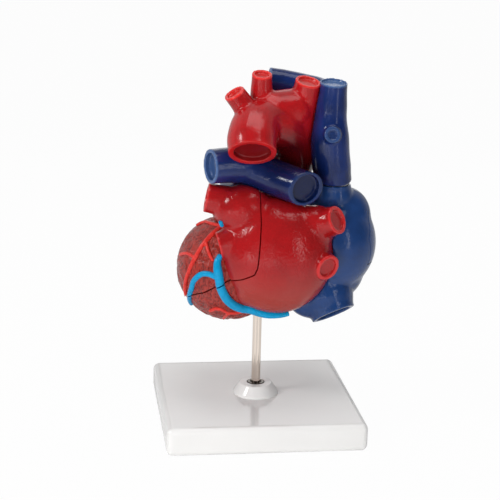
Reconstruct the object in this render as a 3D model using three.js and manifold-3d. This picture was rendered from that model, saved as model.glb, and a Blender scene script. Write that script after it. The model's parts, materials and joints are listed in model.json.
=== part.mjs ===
// A teaching model of the human heart on a stand, in millimetres, +Z up.
// The origin is the middle of the base's underside. The back of the heart faces -Y, and its left side -X.
// It comes apart into five: a core that stands on the rod, the left wall, the front wall, the right atrium's
// outer wall and the great vessels. Magnets in the cut faces hold the four outer parts on the core.

import * as THREE from 'three';
import { mergeVertices } from 'three/addons/utils/BufferGeometryUtils.js';
import Module from 'manifold-3d';

const wasm = await Module();
wasm.setup();
const at = (x, y, z) => new THREE.Vector3(x, y, z);

// Clearances
const JOINT_GAP = 0.35; // between pieces that are glued or seated on each other
const SEAM_GAP = 0.6; // between parts that pull apart
const SLIDE_FIT = 0.3; // between the rod and its socket, all round

// Stand
const BASE_SIZE = 175;
const BASE_HEIGHT = 25;
const BASE_CORNER = 9;
const BASE_EDGE = 2.5;
const BASE_WALL = 3;
const RIB_THICKNESS = 2.5;
const RIB_FOOT = 6; // from the floor up to the ribs
const BOSS_RADIUS = 12;
const COLLAR_RADIUS = 20.5;
const COLLAR_TOP_RADIUS = 14.5;
const COLLAR_HEIGHT = 10;
const COLLAR_RIM = 1.5; // height of the collar's upright edge
const ROD_RADIUS = 4;
const ROD_TOP = 132;
const ROD_SEAT = 8; // height of the rod's lower end above the floor
const ROD_CHAMFER = 0.8;
const WASHER_RADIUS = 7.5;
const WASHER_BORE = 4.8;
const WASHER_THICKNESS = 1.6;
const WASHER_STAND = 0.5; // how far the washer stands out of the collar
const SOCKET_WALL = 2;
const SOCKET_CAP = 3;
const SOCKET_FOOT = 106; // height of the socket's lower end, just under the muscle

// Walls
const RIGHT_WALL = 7; // right ventricle
const ATRIUM_WALL = 5;
const VESSEL_WALL = 4.4;
const STUB_WALL = 3.4;
const AORTA_RIM = 5; // at the cut end of the aorta
const THIN_WALL = 2.8; // of the arch's branches and the small veins
const MOUTH_DEPTH = 5; // how far the wide vessels' cut ends are hollowed
const SHALLOW_DEPTH = 2.5; // the same for the branches and the veins' stubs
const BORE_REACH = [4, 0]; // a vessel's bore starts before its parting plane

// Magnets
const BIG_MAGNET = { radius: 3, length: 3 };
const SMALL_MAGNET = { radius: 1.2, length: 2.5 };

// Planes where the great vessels rest on the heart, and the aorta's root
const ROOT_PLANE = 196; // the aortic arch on its root
const TRUNK_PLANE = 200; // the lung trunk on the outflow
const CAVA_PLANE = 221; // the upper hollow vein on the right atrium's neck
const VALVE_INSET = 10; // from the two arteries' planes down to their valves
const ROOT_RADIUS = 17;
const ROOT_BORE = ROOT_RADIUS - VESSEL_WALL;
const ROOT_FOOT = 150; // inside the muscle, which cuts the root's lower end to its own skin
const ROOT_AXIS = at(18, 13, 0);

// Ventricles: a thick left cone, a thin right bulge wrapped on its front, and the outflow to the lung trunk
const VENTRICLE_CENTRE = at(-10, 22, 142);
const LEFT_BASE = at(-25.5, 7, 142);
const LEFT_APEX = at(-38, 48, 114);
const LEFT_BASE_RADIUS = 47;
const LEFT_APEX_RADIUS = 23;
const RIGHT_MIDDLE = at(9, 36, 134);
const RIGHT_RADII = at(52, 38, 44);
const OUTFLOW_FOOT = at(12, 42, 164);
const OUTFLOW_TOP = at(-9, 45, 196);
const OUTFLOW_FOOT_RADIUS = 19;
const OUTFLOW_TOP_RADIUS = 15.4;
const VENTRICLE_BLEND = 12;

// Chambers inside the ventricles
const LEFT_CAVITY_BASE = at(-32, 14, 147);
const LEFT_CAVITY_APEX = at(-41, 42, 116);
const LEFT_CAVITY_BASE_RADIUS = 21;
const LEFT_CAVITY_APEX_RADIUS = 10;
const INFLOW_RADIUS = 19; // of the left cavity towards its inlet
const INFLOW_REACH = 12;
const CAVITY_BLEND = 8;
const AORTIC_BORE = {
  route: [at(-24, 12, 158), at(-4, 12, 166), ROOT_AXIS.clone().setZ(174), ROOT_AXIS.clone().setZ(ROOT_PLANE)],
  radii: [14, 12, ROOT_BORE, ROOT_BORE],
};
const OUTFLOW_BORE_RADII = [14, 11, 10];
const MITRAL_CENTRE = at(7, -18.5, 159);
const MITRAL_AXIS = at(-0.66, 0.74, -0.13);
const MITRAL_RADIUS = 13;
const TRICUSPID_CENTRE = at(46, 14, 154);
const TRICUSPID_AXIS = at(-0.75, 0.55, -0.37);
const TRICUSPID_RADIUS = 13.5;

// Left atrium: a dome on the back of the heart with four vein stubs
const LEFT_ATRIUM_MIDDLE = at(12, -26, 161);
const LEFT_ATRIUM_RADII = at(50, 36, 52);
const LEFT_ATRIUM_CENTRE = at(12, -22, 165);
const ATRIUM_BLEND = 14;
const LEFT_SWELLINGS = [
  { middle: at(-19, -24, 201), radii: at(26, 20, 20) },
  { middle: at(44, -34, 190), radii: at(20, 16, 18) },
  { middle: at(-13, -27, 139), radii: at(18, 19.5, 23.5) },
];
const LEFT_AURICLE_MIDDLE = at(-29, 7, 191);
const LEFT_AURICLE_RADII = at(13, 22, 11);
const STUB_ROOT_INSET = 1.5; // how far the forms that melt the stubs into a chamber lie under their skin
const VEIN_STUBS = [
  { route: [at(-8, -23, 203), at(-28, -22, 206), at(-48, -20, 209.5)], radii: [17, 14, 12.8] },
  { route: [at(-8, -28, 175), at(-25, -30, 175.5), at(-40, -30, 171.5)], radii: [18, 13.5, 12] },
  { route: [at(36, -30, 184), at(50, -37.5, 192), at(60.5, -47, 197.8)], radii: [18, 14, 12.4] },
  { route: [at(36, -32, 164), at(47.5, -42.5, 159), at(52.8, -53, 156.6)], radii: [16, 12.5, 11.6] },
];

// Right atrium: a rounded sac with the neck of the upper hollow vein and the stub of the lower one
const RIGHT_ATRIUM_MIDDLE = at(65, 0, 166);
const RIGHT_ATRIUM_RADII = at(40, 38, 45);
const RIGHT_ATRIUM_CENTRE = at(66, 0, 163);
const RIGHT_SWELLINGS = [
  { middle: at(75.5, 0, 190), radii: at(24, 24, 26.5) },
  { middle: at(71, 2, 140), radii: at(25, 24, 27) },
  { middle: at(50, -6, 114.5), radii: at(24, 20, 17.5) },
];
const NECK = { route: [at(66, -2, 194), at(65, -6, 208), at(64, -8, CAVA_PLANE)], radii: [23, 17, 14.4] };
const LOWER_CAVA = { route: [at(52, -4, 132), at(60, -10, 119), at(66, -18, 104)], radii: [28, 25, 20] };
const AURICLE_ROOT = at(58, 14, 188);
const AURICLE_TIP = at(27, 38, 197);
const AURICLE_ROOT_RADIUS = 18;
const AURICLE_TIP_RADIUS = 10;

// Aorta: the arch with its three branches, and the cut end that faces down and back. The bored share of each
// great vessel is how far it is hollow.
const ARCH = {
  route: [ROOT_AXIS.clone().setZ(ROOT_PLANE), at(27, 16, 226), at(30, 11, 250), at(15, -6, 270),
    at(-6, -22, 276), at(-14, -38, 267), at(-15, -48, 256)],
  radii: [ROOT_RADIUS, 18.3, 20, 20.5, 21, 21.3, 20.6],
  bored: 0.84,
};
const ARCH_BRANCHES = [
  { route: [at(27, 0, 264), at(34.5, -2.5, 290), at(38, -6.5, 311)], radii: [16.5, 12.6, 11.4] },
  { route: [at(-3, -14, 272), at(-3, -9, 295), at(-3, -9.5, 316.5)], radii: [14, 9.8, 8.8] },
  { route: [at(-12, -26, 272), at(-19, -22, 290), at(-27.5, -18, 301)], radii: [13, 9.4, 8.8] },
];

// Lung arteries: a trunk that climbs back beside the aorta and forks under the arch
const LUNG_TRUNK = {
  route: [at(-9, 45, TRUNK_PLANE), at(-18, 37, 217), at(-21, 16, 233), at(-12, -12, 238)],
  radii: [15, 15.5, 16, 16],
  bored: 0.9,
};
const LEFT_LUNG_ARTERY = {
  route: [at(-6, -14, 238), at(-28, -19, 240), at(-48, -25, 240)],
  radii: [16, 15.4, 15],
};
const RIGHT_LUNG_ARTERY = {
  route: [at(-14, -14, 238), at(12, -26, 229), at(32.4, -46, 224.5)],
  radii: [16, 15.8, 15.4],
};

// Upper hollow vein with the vein of the left arm, and the small stub on its back
const UPPER_CAVA = {
  route: [NECK.route[2], at(61, -9, 238), at(58.5, -10, 258), at(58, -9.5, 286), at(59.3, -11.5, 311)],
  radii: [15.6, 16.4, 16.6, 14, 12],
  bored: 0.85,
};
const LEFT_ARM_VEIN = {
  route: [at(57, -7, 296), at(51, 12, 299.5), at(38, 20, 302), at(22.6, 25, 305), at(7.5, 26, 307.5)],
  radii: [12.5, 12, 11.8, 11.4, 11],
};
const BACK_STUB = {
  route: [at(57.5, -16, 266), at(57, -24, 267.3), at(56.6, -29.5, 268.3)],
  radii: [9.5, 7.8, 7.2],
};

// Valves
const VALVE_RING = 5; // length of the rings that sit in the muscle
const VALVE_STAND = 2; // how far the rings stand out of it
const RING_WALL = 2.4;
const LEAFLET = 1.3;
const LEAFLET_REACH = 15; // from the ring's face to the leaflets' free edge
const LEAFLET_MOUTH = 4.5;
const SLIT = 1.4;
const CORD_RADIUS = 0.7;
const MITRAL_PAPILLA = { route: [at(-38, 8, 124), at(-35, 5, 131), at(-31, 3, 139)], radii: [6, 4.5, 3] };
const TRICUSPID_PAPILLA = {
  route: [at(35, 19, 106), at(34, 19, 116), at(33, 20, 124)],
  radii: [6, 4.2, 2.6],
};
const LUNG_VALVE_RADIUS = 11;
const CUSP_DEPTH = 5;
const CUSP_RIM = 1.5;
const CUSP_FLOOR = 0.8;

// Vessels on the surface: rough places, which are then drawn onto the skin
const GREAT_CARDIAC_VEIN = {
  route: [at(-40, -38, 165), at(-39.5, -31, 155), at(-38, -32, 146), at(-35.5, -31, 136),
    at(-29, -30, 125), at(-16, -32, 114.5), at(-2, -35, 108.5), at(12, -37, 106.5), at(24, -35, 109)],
  radii: [1.2, 3.8, 3.8, 3.8, 3.4, 2],
};
const BACK_VEIN = [at(-38, -32, 144), at(-48, -27, 146.5), at(-55, -21, 140), at(-57.5, -17, 131),
  at(-58, -8, 121), at(-57, 0, 112)];
const ARTERY_START = at(-35, -13, 184);
const CROWN_ARTERY = [ARTERY_START, at(-42, -15, 177), at(-50, -18, 168), at(-56, -19, 157),
  at(-60, -16, 144), at(-62, -9, 129), at(-61, -2, 117)];
const UPPER_BRANCH = [ARTERY_START, at(-44, -3, 185), at(-49, 8, 184), at(-55, 16, 178)];
const LEFT_BRANCH = [at(-56, -19, 157), at(-62, -9, 158), at(-67, 2, 154)];
const INNER_BRANCH = [at(-48, -18, 170), at(-46, -24, 163), at(-42, -29, 156)];
const LOWER_ARTERY = [at(-42, -6, 105), at(-37, -14, 111), at(-30, -14, 108), at(-20, -16, 104)];
const LOWER_BRANCH = [at(-30, -14, 108), at(-31, -4, 99)];
const FRONT_ARTERY = [at(-16, 60, 169), at(-22, 66, 156), at(-30, 68, 140), at(-36, 68, 124),
  at(-38, 66, 108)];
const FRONT_BRANCH = [at(-24, 66, 152), at(-42, 52, 142), at(-52, 42, 130)];
const FRONT_VEIN = [at(-22, 60, 168), at(-29, 64, 154), at(-37, 64, 138), at(-43, 62, 122)];
const RIGHT_ARTERY = [at(40, 56, 165), at(52, 48, 152), at(58, 38, 138), at(57, 38, 122), at(46, 44, 107)];
const ARTERY_RADII = [2.3, 2, 1.7];
const TWIG_RADII = [1.7, 1.4];
const BACK_VEIN_RADII = [2.6, 2.6, 2.4, 1.8];
const FRONT_VEIN_RADII = [2.6, 2.2];
const VEIN_LIFT = 1.8; // how far the great vein's middle stands off the skin
const LIFT_SHARE = 0.3; // the same for the others, as a share of their radius

// Seams. The left wall leaves along a curve that rises to the right and then a line straight up.
const SEAM_CURVE = [[-68, 114], [-65, 121.6], [-54, 128.2], [-42, 137], [-33, 142.1], [-22, 146.5]];
const ATRIUM_SEAM = [[-12, 152.5], [-9.6, 158.6], [-8.2, 174], [-6.1, 198.5], [-4.9, 240]];
const MUSCLE_SEAM = [[-7, 155.5], [-7, 240]]; // the muscle parts further in than the atrium over it
const FRONT_PLANE = 30; // the front wall is what lies before this plane
const FRONT_WALL_TOP = 172;
const RIGHT_SEAM_HEIGHT = 151;
const RIGHT_BACK_SEAM = [[-22, 0], [-22, RIGHT_SEAM_HEIGHT], [-25, 175], [-5, 208], [-5, 260]]; // [y, z]
const RIGHT_TOP = 217;
const RIGHT_INNER_SEAM = [ // [x, z]
  [44, RIGHT_SEAM_HEIGHT], [44, 178], [8, 178], [8, 214], [52, 214], [62, RIGHT_TOP],
];

// Places of the magnets on the outer parts' faces
const FRONT_MAGNETS = [at(-42, FRONT_PLANE, 103.5), at(-6, FRONT_PLANE, 128)];
const LEFT_MAGNETS = [at(MUSCLE_SEAM[0][0], 24, 176), at(MUSCLE_SEAM[0][0], -16, 172)];
const RIGHT_MAGNET_ANGLES = [-0.16, 1.05]; // round the right atrium, from +X

// Solids from closed geometry, and back
function solid(geometry) {
  const bare = new THREE.BufferGeometry();
  bare.setAttribute('position', geometry.getAttribute('position'));
  bare.setIndex(geometry.getIndex());
  const merged = mergeVertices(bare, 1e-4);
  return new wasm.Manifold(new wasm.Mesh({
    numProp: 3,
    vertProperties: new Float32Array(merged.attributes.position.array),
    triVerts: new Uint32Array(merged.index.array),
  }));
}

function geometryOf(body) {
  const mesh = body.getMesh();
  const positions = new Float32Array(mesh.numVert * 3);
  for (let i = 0; i < mesh.numVert; i++) {
    positions.set(mesh.vertProperties.subarray(i * mesh.numProp, i * mesh.numProp + 3), i * 3);
  }
  const geometry = new THREE.BufferGeometry();
  geometry.setAttribute('position', new THREE.BufferAttribute(positions, 3));
  geometry.setIndex(new THREE.BufferAttribute(new Uint32Array(mesh.triVerts), 1));
  return geometry;
}

const join = (...bodies) => bodies.reduce((sum, body) => sum.add(body));
const cut = (body, ...tools) => tools.reduce((rest, tool) => rest.subtract(tool), body);

// The largest piece of a body, without the crumbs that a cut can leave
function largest(body) {
  const pieces = body.decompose();
  return pieces.reduce((best, piece) => (piece.volume() > best.volume() ? piece : best));
}

// A profile of [radius, height] turned about +Z, then stood on an axis at a point
function turned(profile, sides, base = at(0, 0, 0), axis = at(0, 0, 1)) {
  const lathe = new THREE.LatheGeometry(profile.map(([r, h]) => new THREE.Vector2(r, h)), sides);
  lathe.rotateX(Math.PI / 2);
  const turn = new THREE.Quaternion().setFromUnitVectors(at(0, 0, 1), axis.clone().normalize());
  lathe.applyQuaternion(turn).translate(base.x, base.y, base.z);
  return solid(lathe);
}

const disc = (radius, length, base, axis, sides = 20) => turned(
  [[0, 0], [radius, 0], [radius, length], [0, length]], sides, base, axis);

// An outline of [x, z] points drawn along Y from one depth to another
function slab(outline, fromY, toY) {
  const shape = new THREE.Shape(outline.map(([x, z]) => new THREE.Vector2(x, z)));
  const block = new THREE.ExtrudeGeometry(shape, { depth: toY - fromY, bevelEnabled: false });
  block.rotateX(Math.PI / 2).translate(0, toY, 0);
  return solid(block);
}

// An outline of [y, z] points drawn along X from one depth to another
function sideSlab(outline, fromX, toX) {
  const shape = new THREE.Shape(outline.map(([y, z]) => new THREE.Vector2(y, z)));
  const block = new THREE.ExtrudeGeometry(shape, { depth: toX - fromX, bevelEnabled: false });
  block.rotateX(Math.PI / 2).rotateZ(Math.PI / 2).translate(fromX, 0, 0);
  return solid(block);
}

// A tube through points, its radius eased between the given ones. Its ends are flat and square to the route,
// and reach out by a distance past the first and the last point.
function tube({ route, radii, sides = 16, steps = 9 }, grow = 0, to = 1, reach = [0, 0]) {
  const curve = new THREE.CatmullRomCurve3(route, false, 'centripetal');
  const positions = [];
  const count = Math.max(2, Math.round(steps * to));
  let side = null;
  for (let i = 0; i <= count; i++) {
    const u = (i / count) * to;
    const along = curve.getTangent(u);
    if (!side) side = Math.abs(along.z) < 0.9 ? at(0, 0, 1) : at(1, 0, 0);
    side = side.clone().addScaledVector(along, -side.dot(along)).normalize();
    const across = along.clone().cross(side);
    const place = u * (radii.length - 1);
    const low = Math.min(Math.floor(place), radii.length - 2);
    const share = THREE.MathUtils.smoothstep(place - low, 0, 1);
    const radius = THREE.MathUtils.lerp(radii[low], radii[low + 1], share) + grow;
    const centre = curve.getPoint(u);
    if (i === 0) centre.addScaledVector(along, -reach[0]);
    if (i === count) centre.addScaledVector(along, reach[1]);
    for (let k = 0; k < sides; k++) {
      const angle = (k / sides) * 2 * Math.PI;
      const p = centre.clone();
      p.addScaledVector(side, radius * Math.cos(angle));
      p.addScaledVector(across, radius * Math.sin(angle));
      positions.push(p.x, p.y, p.z);
    }
  }
  const index = [];
  for (let k = 0; k < sides; k++) {
    const next = (k + 1) % sides;
    for (let i = 0; i < count; i++) {
      const here = i * sides;
      const there = here + sides;
      index.push(here + k, here + next, there + k, here + next, there + next, there + k);
    }
    if (k > 0 && next > 0) {
      const last = count * sides;
      index.push(0, next, k, last, last + k, last + next);
    }
  }
  const skin = new THREE.BufferGeometry();
  skin.setAttribute('position', new THREE.Float32BufferAttribute(positions, 3));
  skin.setIndex(index);
  return solid(skin);
}

const grown = (vessel, gap) => tube(vessel, gap, 1, [gap, gap]);

const endWay = (route) => new THREE.CatmullRomCurve3(route, false, 'centripetal').getTangent(1);

// The hollow of a cut vessel end: a round recess square to the route's last stretch
function mouth({ route, radii }, wall = VESSEL_WALL, depth = MOUTH_DEPTH) {
  const along = endWay(route);
  const radius = radii[radii.length - 1] - wall;
  const end = route[route.length - 1];
  const overshoot = 1;
  const start = end.clone().addScaledVector(along, overshoot);
  return disc(radius, depth + overshoot, start, along.clone().negate(), 12);
}

// Distance to the skin of a lobe, negative inside
const ellipsoid = (centre, radii) => (p) => {
  const q = p.clone().sub(centre).divide(radii);
  const reach = q.length();
  const slope = q.divide(radii).length();
  return slope > 0 ? (reach * (reach - 1)) / slope : -Math.min(radii.x, radii.y, radii.z);
};

const roundCone = (from, to, fromRadius, toRadius) => {
  const axis = to.clone().sub(from);
  return (p) => {
    const share = THREE.MathUtils.clamp(p.clone().sub(from).dot(axis) / axis.lengthSq(), 0, 1);
    const nearest = from.clone().addScaledVector(axis, share);
    return p.distanceTo(nearest) - THREE.MathUtils.lerp(fromRadius, toRadius, share);
  };
};

// Lobes melted into each other over a blend radius
const melt = (lobes, radius) => (p) => lobes.map((lobe) => lobe(p)).reduce((a, b) => {
  const mix = Math.max(radius - Math.abs(a - b), 0) / radius;
  return Math.min(a, b) - (mix * mix * radius) / 4;
});

// A closed skin round a centre: a sphere whose points are drawn in to the form, grown by a distance
function skin(centre, form, grow = 0, across = 32, up = 20) {
  const farthest = 130;
  const stride = 4;
  const halvings = 12;
  const sphere = new THREE.SphereGeometry(1, across, up);
  sphere.rotateX(Math.PI / 2);
  const place = sphere.getAttribute('position');
  for (let i = 0; i < place.count; i++) {
    const way = at(place.getX(i), place.getY(i), place.getZ(i));
    const height = (t) => form(centre.clone().addScaledVector(way, t)) - grow;
    let outside = farthest;
    while (outside > 2 * stride && height(outside - stride) > 0) outside -= stride;
    let inside = outside - stride;
    for (let k = 0; k < halvings; k++) {
      const middle = (outside + inside) / 2;
      if (height(middle) > 0) outside = middle;
      else inside = middle;
    }
    place.setXYZ(i, centre.x + way.x * inside, centre.y + way.y * inside, centre.z + way.z * inside);
  }
  return solid(sphere);
}

// Ventricles
const leftForm = roundCone(LEFT_BASE, LEFT_APEX, LEFT_BASE_RADIUS, LEFT_APEX_RADIUS);
const rightForm = ellipsoid(RIGHT_MIDDLE, RIGHT_RADII);
const outflowForm = roundCone(OUTFLOW_FOOT, OUTFLOW_TOP, OUTFLOW_FOOT_RADIUS, OUTFLOW_TOP_RADIUS);
const ventricleForm = melt([leftForm, rightForm, outflowForm], VENTRICLE_BLEND);
const far = 160; // past every part of the heart
const above = (height) => slab([[-far, height], [far, height], [far, 2 * far], [-far, 2 * far]], -far, far);
const below = (height) => slab([[-far, 0], [far, 0], [far, height], [-far, height]], -far, far);
const ventricles = (grow = 0) => cut(skin(VENTRICLE_CENTRE, ventricleForm, grow, 20, 13), above(TRUNK_PLANE));

const leftCavityForm = melt([
  roundCone(LEFT_CAVITY_BASE, LEFT_CAVITY_APEX, LEFT_CAVITY_BASE_RADIUS, LEFT_CAVITY_APEX_RADIUS),
  roundCone(LEFT_CAVITY_BASE, MITRAL_CENTRE.clone().addScaledVector(MITRAL_AXIS, INFLOW_REACH),
    INFLOW_RADIUS, MITRAL_RADIUS),
], CAVITY_BLEND);
const SEAT_BEFORE = 10; // how far a valve's bore runs out of the muscle
const bore = (centre, axis, radius, length) => disc(
  radius, SEAT_BEFORE + length, centre.clone().addScaledVector(axis, -SEAT_BEFORE), axis, 12);
const mitralBore = bore(MITRAL_CENTRE, MITRAL_AXIS, MITRAL_RADIUS, LEAFLET_REACH + JOINT_GAP);
const tricuspidBore = bore(TRICUSPID_CENTRE, TRICUSPID_AXIS, TRICUSPID_RADIUS, LEAFLET_REACH + JOINT_GAP);
const lungValvePlace = OUTFLOW_TOP.clone().setZ(TRUNK_PLANE - VALVE_INSET);
const lungValveFoot = lungValvePlace.clone().setZ(lungValvePlace.z - JOINT_GAP);
const outflowBore = {
  route: [OUTFLOW_FOOT, OUTFLOW_TOP.clone().lerp(OUTFLOW_FOOT, 0.5), OUTFLOW_TOP],
  radii: OUTFLOW_BORE_RADII,
};
const leftCavity = join(
  skin(LEFT_CAVITY_BASE, leftCavityForm, 0, 12, 8),
  mitralBore,
  tube({ ...AORTIC_BORE, sides: 10, steps: 5 }),
).subtract(tube({ ...MITRAL_PAPILLA, sides: 8, steps: 3 }));
const rightCavity = join(
  cut(skin(RIGHT_MIDDLE, rightForm, -RIGHT_WALL, 12, 8), skin(LEFT_BASE, leftForm, 0, 12, 8)),
  tube({ ...outflowBore, sides: 10, steps: 3 }),
  disc(LUNG_VALVE_RADIUS, TRUNK_PLANE + 1 - lungValveFoot.z, lungValveFoot, at(0, 0, 1), 12),
  tricuspidBore,
).subtract(tube({ ...TRICUSPID_PAPILLA, sides: 8, steps: 3 }));

// Atria
const stubRoot = ({ route, radii }) => roundCone(
  route[0], route[1], radii[0] - STUB_ROOT_INSET, radii[1] - STUB_ROOT_INSET);
const leftAtriumForm = melt([
  ellipsoid(LEFT_ATRIUM_MIDDLE, LEFT_ATRIUM_RADII),
  ...LEFT_SWELLINGS.map(({ middle, radii }) => ellipsoid(middle, radii)),
  ...VEIN_STUBS.map(stubRoot),
], ATRIUM_BLEND);
const leftAuricle = (grow) => skin(
  LEFT_AURICLE_MIDDLE, ellipsoid(LEFT_AURICLE_MIDDLE, LEFT_AURICLE_RADII), grow, 12, 7);
const leftAtrium = (grow = 0) => join(
  skin(LEFT_ATRIUM_CENTRE, leftAtriumForm, grow, 16, 12),
  leftAuricle(grow),
  ...VEIN_STUBS.map((stub) => grown({ ...stub, sides: 10, steps: 2 }, grow)),
);
const leftAtriumCavity = skin(
  LEFT_ATRIUM_CENTRE, ellipsoid(LEFT_ATRIUM_MIDDLE, LEFT_ATRIUM_RADII), -ATRIUM_WALL, 12, 7);

const rightAtriumForm = melt([
  ellipsoid(RIGHT_ATRIUM_MIDDLE, RIGHT_ATRIUM_RADII),
  ...RIGHT_SWELLINGS.map(({ middle, radii }) => ellipsoid(middle, radii)),
  stubRoot(NECK),
  stubRoot(LOWER_CAVA),
  roundCone(AURICLE_ROOT, AURICLE_TIP, AURICLE_ROOT_RADIUS, AURICLE_TIP_RADIUS),
], VENTRICLE_BLEND);
const cavaEnd = LOWER_CAVA.route[2];
const cavaWay = endWay(LOWER_CAVA.route);
const pastCava = (gap) => disc(far / 2, far / 4, cavaEnd.clone().addScaledVector(cavaWay, gap), cavaWay);
const rightAtrium = (grow = 0) => cut(join(
  skin(RIGHT_ATRIUM_CENTRE, rightAtriumForm, grow, 16, 11),
  grown({ ...NECK, sides: 12, steps: 2 }, grow),
  grown({ ...LOWER_CAVA, sides: 12, steps: 2 }, grow),
), pastCava(grow));
const auricleForm = roundCone(AURICLE_ROOT, AURICLE_TIP, AURICLE_ROOT_RADIUS, AURICLE_TIP_RADIUS);
const rightAtriumCavity = join(
  skin(RIGHT_ATRIUM_CENTRE, ellipsoid(RIGHT_ATRIUM_MIDDLE, RIGHT_ATRIUM_RADII), -ATRIUM_WALL, 12, 7),
  tube({ ...NECK, sides: 10, steps: 2 }, -VESSEL_WALL, 1, [4, 1]),
  skin(AURICLE_ROOT, auricleForm, -ATRIUM_WALL, 8, 6),
);

// The whole heart's skin, and a route drawn onto it
const heartForm = (p) => Math.min(ventricleForm(p), leftAtriumForm(p), rightAtriumForm(p));
function onSkin(form, route, lift) {
  const step = 0.5;
  return route.map((rough) => {
    const p = rough.clone();
    for (let k = 0; k < 6; k++) {
      const slope = at(
        form(p.clone().setX(p.x + step)) - form(p.clone().setX(p.x - step)),
        form(p.clone().setY(p.y + step)) - form(p.clone().setY(p.y - step)),
        form(p.clone().setZ(p.z + step)) - form(p.clone().setZ(p.z - step)),
      );
      if (slope.length() > 0) p.addScaledVector(slope.normalize(), lift - form(p));
    }
    return p;
  });
}
const laid = (form, route, radii, steps, lift = LIFT_SHARE * radii[1]) => ({
  route: onSkin(form, route, lift), radii, sides: 5, steps,
});

// Great vessels
const archTubes = [
  { ...ARCH, sides: 12, steps: 10 },
  ...ARCH_BRANCHES.map((branch) => ({ ...branch, sides: 10, steps: 2 })),
];
const arch = (grow = 0) => join(...archTubes.map((vessel) => grown(vessel, grow)));
const lungTubes = [
  { ...LUNG_TRUNK, sides: 12, steps: 5 },
  { ...RIGHT_LUNG_ARTERY, sides: 12, steps: 3 },
  { ...LEFT_LUNG_ARTERY, sides: 12, steps: 2 },
];
const root = (radius, from, to) => disc(radius, to - from, ROOT_AXIS.clone().setZ(from), at(0, 0, 1), 16);

// Regions of the parts
const seamOutline = (upper) => [
  ...SEAM_CURVE, ...upper, [-far, upper[upper.length - 1][1]], [-far, SEAM_CURVE[0][1]],
];
function leftRegion(upper, frontY) {
  const outline = seamOutline(upper);
  const opened = outline.map(([x, z]) => [x + SEAM_GAP, z - SEAM_GAP]);
  return {
    part: slab(outline, -far, frontY - SEAM_GAP),
    empty: slab(outline, -far, frontY).add(slab(opened, -far, frontY)),
  };
}
const leftMuscle = leftRegion(MUSCLE_SEAM, FRONT_PLANE);
const leftDome = leftRegion(ATRIUM_SEAM, far);
const frontRegion = (fromY, top) => slab([[-far, 0], [far, 0], [far, top], [-far, top]], fromY, far);
const frontPart = frontRegion(FRONT_PLANE, FRONT_WALL_TOP - SEAM_GAP);
const frontEmpty = frontRegion(FRONT_PLANE - SEAM_GAP, FRONT_WALL_TOP);
function rightRegion(gap) {
  const middle = (RIGHT_SEAM_HEIGHT + RIGHT_TOP) / 2;
  const inner = RIGHT_INNER_SEAM.map(([x, z]) => [x - gap, z < middle ? z - gap : z + gap]);
  const side = [...inner, [far, RIGHT_TOP + gap], [far, RIGHT_SEAM_HEIGHT - gap]];
  const back = [...RIGHT_BACK_SEAM.map(([y, z]) => [y - gap, z]), [far, 2 * far], [far, 0]];
  return slab(side, -far, far).intersect(sideSlab(back, -far, far));
}
const rightPart = rightRegion(0);
const rightEmpty = rightRegion(SEAM_GAP);

const group = new THREE.Group();
function add(name, body, material) {
  const mesh = new THREE.Mesh(geometryOf(largest(body)), material);
  mesh.name = name;
  group.add(mesh);
}
const plain = (color, roughness, metalness = 0) => new THREE.MeshStandardMaterial(
  { color, roughness, metalness });
const whitePlastic = plain(0xf1f1f0, 0.25);
const chrome = plain(0xc9c3bb, 0.12, 1);
const magnetSteel = plain(0x9a9da2, 0.3, 1);
const muscle = plain(0x8c2a26, 0.4);
const atriumRed = plain(0xa51e22, 0.3);
const arteryRed = plain(0xc01d22, 0.3);
const coronaryRed = plain(0xd8302b, 0.35);
const veinBlue = plain(0x1d3a78, 0.3);
const paleBlue = plain(0x0a93cf, 0.35);
const leafletWhite = plain(0xe9dfd0, 0.5);

// Magnets: a disc flush with each face, in a pocket
const sockets = new Map(); // host name to the pockets cut from it
function magnetPair(name, point, normal, size, outerHost, coreHost) {
  const sunk = (gap, base, way) => disc(
    size.radius + gap, size.length + 2 * gap, base.clone().addScaledVector(way, -gap), way, 8);
  const coreFace = point.clone().addScaledVector(normal, -SEAM_GAP);
  const inward = normal.clone().negate();
  sockets.set(outerHost, [...(sockets.get(outerHost) ?? []), sunk(JOINT_GAP, point, normal)]);
  sockets.set(coreHost, [...(sockets.get(coreHost) ?? []), sunk(JOINT_GAP, coreFace, inward)]);
  add(name + '_outer', disc(size.radius, size.length, point, normal, 8), magnetSteel);
  add(name + '_core', disc(size.radius, size.length, coreFace, inward, 8), magnetSteel);
}
const pocketed = (host, body) => cut(body, ...(sockets.get(host) ?? []));
FRONT_MAGNETS.forEach((point, i) => magnetPair(
  'front_magnet_' + (i + 1), point, at(0, 1, 0), BIG_MAGNET, 'front_ventricle_wall', 'ventricle_core'));
LEFT_MAGNETS.forEach((point, i) => magnetPair(
  'left_magnet_' + (i + 1), point, at(-1, 0, 0), BIG_MAGNET, 'left_ventricle_wall', 'ventricle_core'));
const seamDrop = (RIGHT_SEAM_HEIGHT - RIGHT_ATRIUM_MIDDLE.z) / RIGHT_ATRIUM_RADII.z;
const seamReach = Math.sqrt(1 - seamDrop * seamDrop);
RIGHT_MAGNET_ANGLES.forEach((angle, i) => {
  const point = at(
    RIGHT_ATRIUM_MIDDLE.x + (RIGHT_ATRIUM_RADII.x * seamReach - ATRIUM_WALL / 2) * Math.cos(angle),
    RIGHT_ATRIUM_MIDDLE.y + (RIGHT_ATRIUM_RADII.y * seamReach - ATRIUM_WALL / 2) * Math.sin(angle),
    RIGHT_SEAM_HEIGHT,
  );
  magnetPair(
    'right_magnet_' + (i + 1), point, at(0, 0, 1), SMALL_MAGNET, 'right_atrium_wall', 'right_atrium_back');
});
const rootMagnet = at(ROOT_AXIS.x - ROOT_RADIUS + VESSEL_WALL / 2, ROOT_AXIS.y, ROOT_PLANE + SEAM_GAP);
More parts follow.
